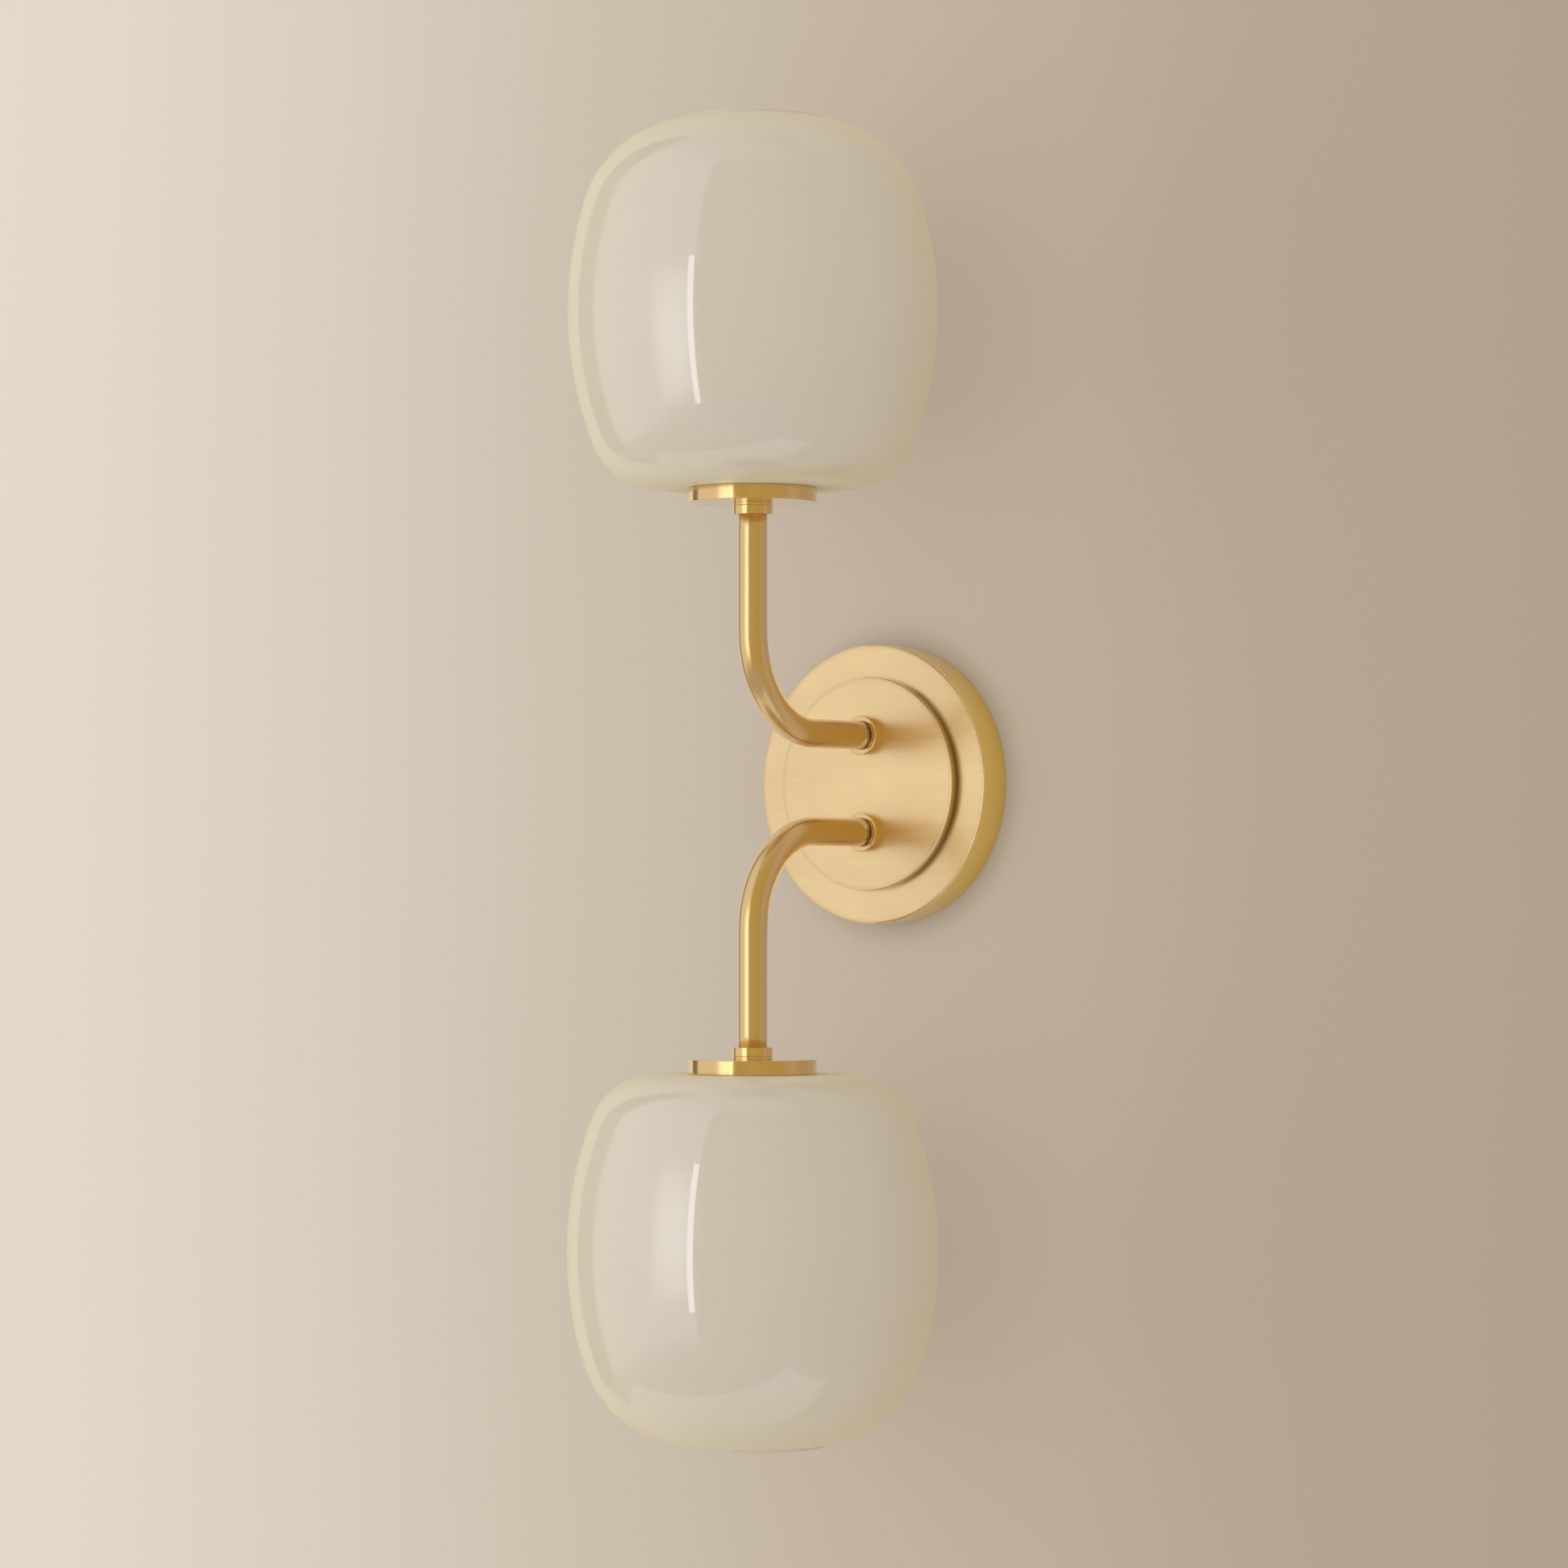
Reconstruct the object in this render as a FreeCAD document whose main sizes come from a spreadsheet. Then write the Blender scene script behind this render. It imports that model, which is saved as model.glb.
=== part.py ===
import FreeCAD, Part
import Sketcher
import math
import os
from FreeCAD import Placement, Rotation, Vector

# A double arm wall sconce. The wall is the plane Y = 0, the lamp stands out along -Y, and Z is up.
# The origin is the centre of the backplate on the wall. The upper and the lower arm mirror each other.

doc = FreeCAD.newDocument("double_arm_wall_sconce")
sheet = doc.addObject("Spreadsheet::Sheet", "Dims")

DIMENSIONS = [
    # backplate and raised disc
    ("plate_radius", 63.5), ("plate_depth", 16.5), ("plate_wall", 1.5), ("plate_edge", 0.8),
    ("disc_radius", 48.5), ("disc_rise", 4.2), ("disc_edge", 0.5),
    # arms: their axes' distance from the centre, reach from the wall, bend and tube
    ("arm_offset", 22.0), ("arm_reach", 103.0), ("arm_bend", 44.0),
    ("tube_radius", 6.5), ("tube_bore", 5.0),
    # turned ring round each arm at the disc
    ("collar_radius", 9.0), ("collar_bore", 7.3), ("collar_height", 5.5), ("collar_sink", 1.0),
    ("collar_edge", 0.4),
    # threaded hollow studs, their holes, nuts and washers
    ("nipple_bore", 3.5), ("nipple_grip", 14.0), ("nipple_hole", 5.1), ("wall_nipple_foot", 10.5),
    ("nut_flats", 14.0), ("nut_height", 3.2), ("washer_radius", 8.5), ("washer_thickness", 0.8),
    # flange that carries the glass, and the sleeve beside it
    ("flange_face", 123.1), ("flange_thickness", 5.5), ("flange_radius", 28.2), ("flange_edge", 0.5),
    ("sleeve_radius", 8.75), ("sleeve_height", 6.0), ("sleeve_edge", 0.4),
    # glass shade, heights from its base
    ("glass_wall", 3.2), ("fitter_radius", 21.0), ("heel_flat", 43.3), ("heel_radius", 29.7),
    ("side_radius", 166.3), ("belly_height", 78.5), ("shoulder_radius", 50.3),
    ("shoulder_height", 162.6), ("rim_radius", 32.6), ("rim_lip", 1.3), ("rim_edge", 0.6),
    # soft rings, and the threaded ring that clamps the glass
    ("seal_radius", 27.0), ("seal_thickness", 1.0),
    ("ring_foot", 2.5), ("ring_hub_radius", 22.5), ("ring_height", 8.0), ("thread_gap", 0.05),
    # lamp socket, heights from the flange's inner face
    ("socket_radius", 19.8), ("socket_floor", 2.5), ("socket_cap_height", 15.0),
    ("socket_cap_bore", 17.3), ("socket_height", 46.0), ("socket_bore", 14.2), ("socket_deck", 3.0),
    ("socket_nipple", 8.0), ("shell_wall", 0.5), ("shell_lip", 2.2), ("shell_top", 45.0),
    ("contact_radius", 4.0), ("contact_rise", 1.4), ("contact_crown", 2.5), ("contact_foot", 0.5),
    ("terminal_spread", 12.0), ("terminal_head", 3.0), ("terminal_rise", 2.4), ("terminal_shank", 1.5),
    # bulb, heights from the flange's inner face
    ("tip_height", 19.7), ("tip_radius", 4.5), ("insulator_height", 20.5), ("cap_foot", 23.0),
    ("cap_foot_radius", 12.4), ("cap_radius", 13.2), ("cap_wall", 0.4), ("cap_top", 46.0),
    ("cap_shoulder", 1.5), ("neck_foot", 40.0), ("neck_top", 53.0), ("bulb_radius", 17.5),
    ("bulb_half_height", 34.0), ("bulb_centre", 76.0), ("bulb_wall", 1.0),
    # wall bracket: strap, bent tabs, slots
    ("strap_width", 25.0), ("strap_thickness", 2.0), ("strap_reach", 60.5), ("tab_depth", 13.0),
    ("strap_bend", 1.5), ("slot_spacing", 86.0), ("slot_length", 13.6), ("slot_width", 4.8),
    ("set_screw_radius", 2.0), ("set_screw_depth", 8.0), ("set_screw_foot", 54.0),
    ("rim_hole_radius", 2.2),
    ("ground_radius", 2.4), ("ground_head", 5.5), ("ground_head_height", 2.8), ("ground_gap", 2.2),
    # wires and their twist-on connectors
    ("lead_radius", 1.1), ("lead_spread", 1.3), ("lead_depth", 6.2), ("lead_bend", 3.0),
    ("lead_stop", 1.0), ("lead_gather", 14.5), ("ground_gather", 11.0),
    ("nut_mouth", 22.0), ("nut_mouth_radius", 6.0), ("nut_mouth_bore", 3.4), ("nut_skirt", 6.0),
    ("nut_crown", 20.0), ("nut_crown_radius", 4.2), ("nut_tip_radius", 3.0), ("nut_length", 22.0),
    ("nut_bore_depth", 8.0), ("ground_nut_drop", 26.0),
]
for row, (alias, number) in enumerate(DIMENSIONS, start=1):
    sheet.set("A%d" % row, str(number))
    sheet.setAlias("A%d" % row, alias)
doc.recompute()


class Size:
    """A length: its present value and the expression that binds it to the sheet."""

    def __init__(self, value, text):
        self.value = value
        self.text = text

    def __add__(self, other):
        return Size(self.value + other.value, "(%s + %s)" % (self.text, other.text))

    def __sub__(self, other):
        return Size(self.value - other.value, "(%s - %s)" % (self.text, other.text))

    def __truediv__(self, number):
        return Size(self.value / number, "(%s / %s)" % (self.text, number))

    def __neg__(self):
        return Size(-self.value, "(-%s)" % self.text)


def dim(alias):
    return Size(float(sheet.get(alias)), "Dims." + alias)


ZERO = Size(0.0, "0")
SEAT = dim("flange_face") + dim("flange_thickness")
DISC_FACE = dim("plate_depth") + dim("disc_rise")
SIDES = (("upper", 1), ("lower", -1))
parts = {}


def keep(piece, label):
    piece.Label = label
    parts[label] = piece
    return piece


def place(piece, turn, along_y=ZERO, up=ZERO, across=ZERO):
    """Turn a piece, then carry it to a place that the sheet drives."""
    piece.Placement = Placement(Vector(across.value, along_y.value, up.value), turn)
    for axis, size in (("x", across), ("y", along_y), ("z", up)):
        if size is not ZERO:
            piece.setExpression("Placement.Base." + axis, size.text)


def signed(size, sign):
    return size if sign > 0 else -size


FLIPPED = {1: Rotation(), -1: Rotation(Vector(0, 1, 0), 180)}
OUT_OF_WALL = Rotation(Vector(1, 0, 0), 90)


def at_lamp_end(piece, sign, level):
    """Stand a turned piece on the lamp end's axis, its foot at a height from the centre plane."""
    place(piece, FLIPPED[sign], along_y=-dim("arm_reach"), up=signed(level, sign))


def at_plate(piece, sign=0, depth=ZERO):
    """Lay a turned piece on its back against the wall, at the centre or on an arm's axis."""
    up = signed(dim("arm_offset"), sign) if sign else ZERO
    place(piece, OUT_OF_WALL, along_y=-depth if depth is not ZERO else ZERO, up=up)


def plane_of(body, role):
    return next(feature for feature in body.Origin.OriginFeatures if feature.Role == role)


def new_sketch(body, name, role, lift=None):
    """A sketch on one of the body's own planes, lifted off it where asked."""
    sketch = body.newObject("Sketcher::SketchObject", name)
    sketch.AttachmentSupport = (plane_of(body, role), [""])
    sketch.MapMode = "FlatFace"
    if lift is not None:
        sketch.setExpression("AttachmentOffset.Base.z", lift.text)
    return sketch


def set_size(sketch, constraint, tag, size):
    """Add a sized constraint and bind it to the sheet."""
    index = sketch.addConstraint(constraint)
    sketch.renameConstraint(index, tag)
    sketch.setExpression("Constraints." + tag, size.text)


def pin_point(sketch, item, end, across, up, tag):
    """Fix one point of a sketch by its distances from the sketch's origin."""
    for kind, axis, size in (("DistanceX", -2, across), ("DistanceY", -1, up)):
        if size is None:
            continue
        if size is ZERO:
            sketch.addConstraint(Sketcher.Constraint("PointOnObject", item, end, axis))
        else:
            datum = Sketcher.Constraint(kind, -1, 1, item, end, size.value)
            set_size(sketch, datum, "%s_%s" % (tag, kind[-1]), size)


def outline(sketch, corners):
    """A closed run of straight lines through corners given as (across, up)."""
    first = sketch.GeometryCount
    count = len(corners)
    spots = [Vector(across.value, up.value, 0) for across, up in corners]
    for index in range(count):
        sketch.addGeometry(Part.LineSegment(spots[index], spots[(index + 1) % count]), False)
    for index in range(count):
        follower = first + (index + 1) % count
        sketch.addConstraint(Sketcher.Constraint("Coincident", first + index, 2, follower, 1))
    for index, (across, up) in enumerate(corners):
        pin_point(sketch, first + index, 1, across, up, "p%d" % (first + index))


def circle(sketch, radius, across=ZERO, up=ZERO):
    """A circle whose centre and radius the sheet drives."""
    centre = Vector(across.value, up.value, 0)
    item = sketch.addGeometry(Part.Circle(centre, Vector(0, 0, 1), radius.value), False)
    pin_point(sketch, item, 3, across, up, "c%d" % item)
    set_size(sketch, Sketcher.Constraint("Radius", item, radius.value), "r%d" % item, radius)


def revolve(body, sketch, name):
    feature = body.newObject("PartDesign::Revolution", name)
    feature.Profile = sketch
    feature.ReferenceAxis = (sketch, ["V_Axis"])
    feature.Angle = 360
    doc.recompute()
    return feature


def turned(name, corners):
    """A lathe-turned piece from its section, given as (radius, height) corners."""
    body = doc.addObject("PartDesign::Body", name)
    sketch = new_sketch(body, name + "_section", "XZ_Plane")
    outline(sketch, corners)
    revolve(body, sketch, name + "_turning")
    return body


def ring_section(bore, radius, height):
    return [(bore, ZERO), (radius, ZERO), (radius, height), (bore, height)]


def soften(body, size, edges_wanted):
    """Round the circular edges that lie at the given (radius, height) places."""
    base = body.Tip
    names = []
    for number, edge in enumerate(base.Shape.Edges, start=1):
        if not isinstance(edge.Curve, Part.Circle):
            continue
        for radius, height in edges_wanted:
            at_height = abs(edge.Curve.Center.z - height.value) < 1e-4
            if at_height and abs(edge.Curve.Radius - radius.value) < 1e-4:
                names.append("Edge%d" % number)
    feature = body.newObject("PartDesign::Fillet", body.Name + "_edges")
    feature.Base = (base, names)
    feature.setExpression("Radius", size.text)
    doc.recompute()
    return feature


def drill(body, name, role, holes, lift=None, depth=None, both_ways=False):
    """Cut round holes, given as (radius, across, up), down from a lifted plane or right through."""
    sketch = new_sketch(body, name + "_layout", role, lift)
    for radius, across, up in holes:
        circle(sketch, radius, across, up)
    before = body.Tip.Shape.Volume
    pocket = body.newObject("PartDesign::Pocket", name)
    pocket.Profile = sketch
    if depth is None:
        pocket.Type = "ThroughAll"
    else:
        pocket.setExpression("Length", depth.text)
    pocket.Midplane = both_ways
    doc.recompute()
    if pocket.Shape.Volume >= before - 1e-6:
        raise RuntimeError(name + " cut nothing")
    return pocket


def bind_all(piece, sizes):
    for name, size in sizes.items():
        piece.setExpression(name, size.text)


def group(label, pieces):
    """Like small pieces that share one node, as separate solids."""
    bundle = doc.addObject("Part::Compound", label)
    bundle.Links = pieces
    return keep(bundle, label)


# Backplate: a pan pressed from brass sheet, open towards the wall. The arms' studs pass through its
# face, and a grub screw from the bracket reaches into its rim at the top and at the bottom.
def make_backplate():
    inside = dim("plate_depth") - dim("plate_wall")
    bore = dim("plate_radius") - dim("plate_wall")
    pan = turned("backplate", [
        (ZERO, inside), (bore, inside), (bore, ZERO), (dim("plate_radius"), ZERO),
        (dim("plate_radius"), dim("plate_depth")), (ZERO, dim("plate_depth"))])
    soften(pan, dim("plate_edge"), [(dim("plate_radius"), dim("plate_depth"))])
    studs = [(dim("nipple_hole"), ZERO, signed(dim("arm_offset"), sign)) for _, sign in SIDES]
    drill(pan, "stud_holes", "XY_Plane", studs, lift=dim("plate_depth"))
    drill(pan, "rim_holes", "XZ_Plane", [(dim("rim_hole_radius"), ZERO, dim("set_screw_depth"))],
          both_ways=True)
    at_plate(pan)
    keep(pan, "backplate")


# Raised disc: a flat turned disc on the pan's face, with a shallow seat for each arm's collar.
def make_raised_disc():
    disc = turned("raised_disc", ring_section(ZERO, dim("disc_radius"), dim("disc_rise")))
    soften(disc, dim("disc_edge"), [(dim("disc_radius"), dim("disc_rise"))])
    for name, radius, depth in (("collar_seats", dim("collar_radius"), dim("collar_sink")),
                                ("disc_stud_holes", dim("nipple_hole"), None)):
        holes = [(radius, ZERO, signed(dim("arm_offset"), sign)) for _, sign in SIDES]
        drill(disc, name, "XY_Plane", holes, lift=dim("disc_rise"), depth=depth)
    at_plate(disc, depth=dim("plate_depth"))
    keep(disc, "raised_disc")


# Wall bracket: a steel strap along Z with two slots for the outlet box's screws and two bent tabs.
def make_wall_bracket():
    bracket = doc.addObject("PartDesign::Body", "wall_bracket")
    sketch = new_sketch(bracket, "strap_section", "YZ_Plane")
    reach, depth, gauge = dim("strap_reach"), dim("tab_depth"), dim("strap_thickness")
    inner = reach - gauge
    outline(sketch, [(ZERO, -reach), (depth, -reach), (depth, -inner), (gauge, -inner),
                     (gauge, inner), (depth, inner), (depth, reach), (ZERO, reach)])
    strap = bracket.newObject("PartDesign::Pad", "strap")
    strap.Profile = sketch
    strap.Midplane = True
    strap.setExpression("Length", "Dims.strap_width")
    doc.recompute()
    bends = []
    for number, edge in enumerate(strap.Shape.Edges, start=1):
        middle = edge.CenterOfMass
        across = abs(edge.Vertexes[0].Point.x - edge.Vertexes[-1].Point.x) > gauge.value
        inside = abs(abs(middle.z) - inner.value) < 1e-4 and abs(middle.y - gauge.value) < 1e-4
        outside = abs(abs(middle.z) - reach.value) < 1e-4 and abs(middle.y) < 1e-4
        if across and (inside or outside):
            bends.append("Edge%d" % number)
    bend = bracket.newObject("PartDesign::Fillet", "strap_bends")
    bend.Base = (strap, bends)
    bend.setExpression("Radius", "Dims.strap_bend")
    doc.recompute()
    drill(bracket, "ground_hole", "XZ_Plane", [(dim("ground_radius"), ZERO, ZERO)], both_ways=True)
    tab_hole = [(dim("set_screw_radius"), ZERO, dim("set_screw_depth"))]
    drill(bracket, "tab_holes", "XY_Plane", tab_hole, both_ways=True)
    slots = new_sketch(bracket, "slot_layout", "XZ_Plane")
    half = dim("slot_width") / 2
    run = (dim("slot_length") - dim("slot_width")) / 2
    for _, sign in SIDES:
        middle = signed(dim("slot_spacing") / 2, sign)
        first = slots.GeometryCount
        low, high = middle - run, middle + run
        foot = Part.Circle(Vector(0, low.value, 0), Vector(0, 0, 1), half.value)
        head = Part.Circle(Vector(0, high.value, 0), Vector(0, 0, 1), half.value)
        slots.addGeometry(Part.LineSegment(Vector(-half.value, high.value, 0),
                                           Vector(-half.value, low.value, 0)), False)
        slots.addGeometry(Part.ArcOfCircle(foot, math.pi, 2 * math.pi), False)
        slots.addGeometry(Part.LineSegment(Vector(half.value, low.value, 0),
                                           Vector(half.value, high.value, 0)), False)
        slots.addGeometry(Part.ArcOfCircle(head, 0, math.pi), False)
        for step in range(4):
            follower = first + (step + 1) % 4
            slots.addConstraint(Sketcher.Constraint("Coincident", first + step, 2, follower, 1))
        for step, (across, up) in enumerate(((-half, high), (-half, low), (half, low), (half, high))):
            pin_point(slots, first + step, 1, across, up, "p%d" % (first + step))
        pin_point(slots, first + 1, 3, None, low, "arc%d" % (first + 1))
        pin_point(slots, first + 3, 3, None, high, "arc%d" % (first + 3))
    pocket = bracket.newObject("PartDesign::Pocket", "slots")
    pocket.Profile = slots
    pocket.Type = "ThroughAll"
    pocket.Midplane = True
    doc.recompute()
    place(bracket, Rotation(Vector(0, 0, 1), 180))
    keep(bracket, "wall_bracket")


# Grub screws: each is threaded through a bracket tab and ends in the rim's hole, flush with the pan.
def make_set_screws():
    screws = []
    foot = dim("set_screw_foot")
    for side, sign in SIDES:
        screw = turned(side + "_set_screw",
                       ring_section(ZERO, dim("set_screw_radius"), dim("plate_radius") - foot))
        place(screw, FLIPPED[sign], along_y=-dim("set_screw_depth"), up=signed(foot, sign))
        screws.append(screw)
    group("set_screws", screws)


# Ground screw: a washer-head machine screw in the strap's centre. Its lead hooks round the shank.
def make_ground_screw():
    screw = turned("ground_screw", [
        (ZERO, ZERO), (dim("ground_radius"), ZERO),
        (dim("ground_radius"), dim("strap_thickness") + dim("ground_gap")),
        (dim("ground_head"), dim("strap_thickness") + dim("ground_gap")),
        (dim("ground_head"), dim("strap_thickness") + dim("ground_gap") + dim("ground_head_height")),
        (ZERO, dim("strap_thickness") + dim("ground_gap") + dim("ground_head_height"))])
    at_plate(screw)
    keep(screw, "ground_screw")


# Plate collar: a turned ring seated in the raised disc, with a narrow gap round the arm.
def make_plate_collar(side, sign):
    collar = turned(side + "_plate_collar",
                    ring_section(dim("collar_bore"), dim("collar_radius"), dim("collar_height")))
    soften(collar, dim("collar_edge"), [(dim("collar_radius"), dim("collar_height")),
                                        (dim("collar_bore"), dim("collar_height"))])
    at_plate(collar, sign, depth=DISC_FACE - dim("collar_sink"))
    keep(collar, side + "_plate_collar")


# Arm: a drawn brass tube that leaves the disc square to the wall and bends once, up or down.
def make_arm_tube(side, sign):
    arm = doc.addObject("PartDesign::Body", side + "_arm_tube")
    run = dim("arm_reach") - DISC_FACE
    climb = dim("flange_face") - dim("arm_offset")
    bend = dim("arm_bend")
    wall = new_sketch(arm, side + "_tube_section", "XZ_Plane")
    circle(wall, dim("tube_radius"))
    circle(wall, dim("tube_bore"))
    route = new_sketch(arm, side + "_tube_route", "YZ_Plane")
    start, turn_in = Vector(0, 0, 0), Vector(run.value - bend.value, 0, 0)
    turn_out, finish = Vector(run.value, bend.value, 0), Vector(run.value, climb.value, 0)
    centre = Vector(turn_in.x, bend.value, 0)
    route.addGeometry(Part.LineSegment(start, turn_in), False)
    route.addGeometry(Part.ArcOfCircle(Part.Circle(centre, Vector(0, 0, 1), bend.value),
                                       1.5 * math.pi, 2 * math.pi), False)
    route.addGeometry(Part.LineSegment(turn_out, finish), False)
    route.addConstraint(Sketcher.Constraint("Coincident", 0, 1, -1, 1))
    route.addConstraint(Sketcher.Constraint("Horizontal", 0))
    route.addConstraint(Sketcher.Constraint("Vertical", 2))
    route.addConstraint(Sketcher.Constraint("Tangent", 0, 2, 1, 1))
    route.addConstraint(Sketcher.Constraint("Tangent", 1, 2, 2, 1))
    set_size(route, Sketcher.Constraint("Radius", 1, bend.value), "bend", bend)
    pin_point(route, 2, 2, run, climb, "finish")
    doc.recompute()
    tube = arm.newObject("PartDesign::AdditivePipe", side + "_tube")
    tube.Profile = wall
    tube.Spine = (route, ["Edge1", "Edge2", "Edge3"])
    doc.recompute()
    length = run.value + climb.value - 2 * bend.value + math.pi / 2 * bend.value
    area = math.pi * (dim("tube_radius").value ** 2 - dim("tube_bore").value ** 2)
    if abs(arm.Shape.Volume / (area * length) - 1) > 1e-3:
        raise RuntimeError("the arm's volume doesn't match its section and length")
    outward = {1: Rotation(Vector(0, 0, 1), 180), -1: Rotation(Vector(1, 0, 0), 180)}
    place(arm, outward[sign], along_y=-DISC_FACE, up=signed(dim("arm_offset"), sign))
    keep(arm, side + "_arm_tube")


# Threaded hollow studs, brazed into both ends of an arm. Their threads are left plain.
def make_nipples(side, sign):
    wall_length = DISC_FACE + dim("nipple_grip") - dim("wall_nipple_foot")
    stud = turned(side + "_wall_nipple", ring_section(dim("nipple_bore"), dim("tube_bore"), wall_length))
    at_plate(stud, sign, depth=dim("wall_nipple_foot"))
    keep(stud, side + "_wall_nipple")
    lamp_length = dim("nipple_grip") + dim("flange_thickness") + dim("socket_nipple")
    stud = turned(side + "_lamp_nipple", ring_section(dim("nipple_bore"), dim("tube_bore"), lamp_length))
    at_lamp_end(stud, sign, dim("flange_face") - dim("nipple_grip"))
    keep(stud, side + "_lamp_nipple")


# A plain hexagon nut on a stud.
def hex_nut(name):
    blank = doc.addObject("Part::Prism", name + "_blank")
    blank.Polygon = 6
    blank.setExpression("Circumradius", "Dims.nut_flats / sqrt(3)")
    blank.setExpression("Height", "Dims.nut_height")
    bore = doc.addObject("Part::Cylinder", name + "_bore")
    bore.setExpression("Radius", "Dims.tube_bore")
    bore.setExpression("Height", "Dims.nut_height")
    nut = doc.addObject("Part::Cut", name)
    nut.Base = blank
    nut.Tool = bore
    return nut


# Lock washers and nuts behind the pan's face clamp both arms, the raised disc and the pan together.
def make_arm_locks():
    washers, nuts = [], []
    washer_foot = dim("plate_depth") - dim("plate_wall") - dim("washer_thickness")
    for side, sign in SIDES:
        washer = turned(side + "_lock_washer",
                        ring_section(dim("nipple_hole"), dim("washer_radius"), dim("washer_thickness")))
        at_plate(washer, sign, depth=washer_foot)
        washers.append(washer)
        nut = hex_nut(side + "_lock_nut")
        at_plate(nut, sign, depth=washer_foot - dim("nut_height"))
        nuts.append(nut)
    group("arm_lock_washers", washers)
    group("arm_lock_nuts", nuts)


# Sleeve: a short turned ring brazed on the arm where it meets the flange.
def make_arm_sleeve(side, sign):
    sleeve = turned(side + "_arm_sleeve",
                    ring_section(dim("tube_radius"), dim("sleeve_radius"), dim("sleeve_height")))
    soften(sleeve, dim("sleeve_edge"), [(dim("sleeve_radius"), ZERO)])
    at_lamp_end(sleeve, sign, dim("flange_face") - dim("sleeve_height"))
    keep(sleeve, side + "_arm_sleeve")


# Flange: the turned brass disc that the glass sits on.
def make_flange(side, sign):
    flange = turned(side + "_flange",
                    ring_section(dim("nipple_hole"), dim("flange_radius"), dim("flange_thickness")))
    soften(flange, dim("flange_edge"), [(dim("flange_radius"), ZERO),
                                        (dim("flange_radius"), dim("flange_thickness"))])
    at_lamp_end(flange, sign, dim("flange_face"))
    keep(flange, side + "_flange")


# Soft rings either side of the glass: one on the flange, one under the threaded ring.
def make_soft_rings(side, sign):
    for name, level in (("seat_gasket", SEAT),
                        ("ring_washer", SEAT + dim("seal_thickness") + dim("glass_wall"))):
        soft = turned(side + "_" + name,
                      ring_section(dim("fitter_radius"), dim("seal_radius"), dim("seal_thickness")))
        at_lamp_end(soft, sign, level)
        keep(soft, side + "_" + name)


def meeting_point(first, first_reach, second, second_reach):
    """The point nearer the axis that lies at the given distances from two points."""
    gap_x, gap_z = second[0] - first[0], second[1] - first[1]
    gap = math.hypot(gap_x, gap_z)
    along = (first_reach ** 2 - second_reach ** 2 + gap ** 2) / (2 * gap)
    aside = math.sqrt(first_reach ** 2 - along ** 2)
    foot = (first[0] + gap_x * along / gap, first[1] + gap_z * along / gap)
    step = (gap_z * aside / gap, -gap_x * aside / gap)
    choices = [(foot[0] + turn * step[0], foot[1] + turn * step[1]) for turn in (1, -1)]
    return min(choices, key=lambda spot: spot[1])


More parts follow.
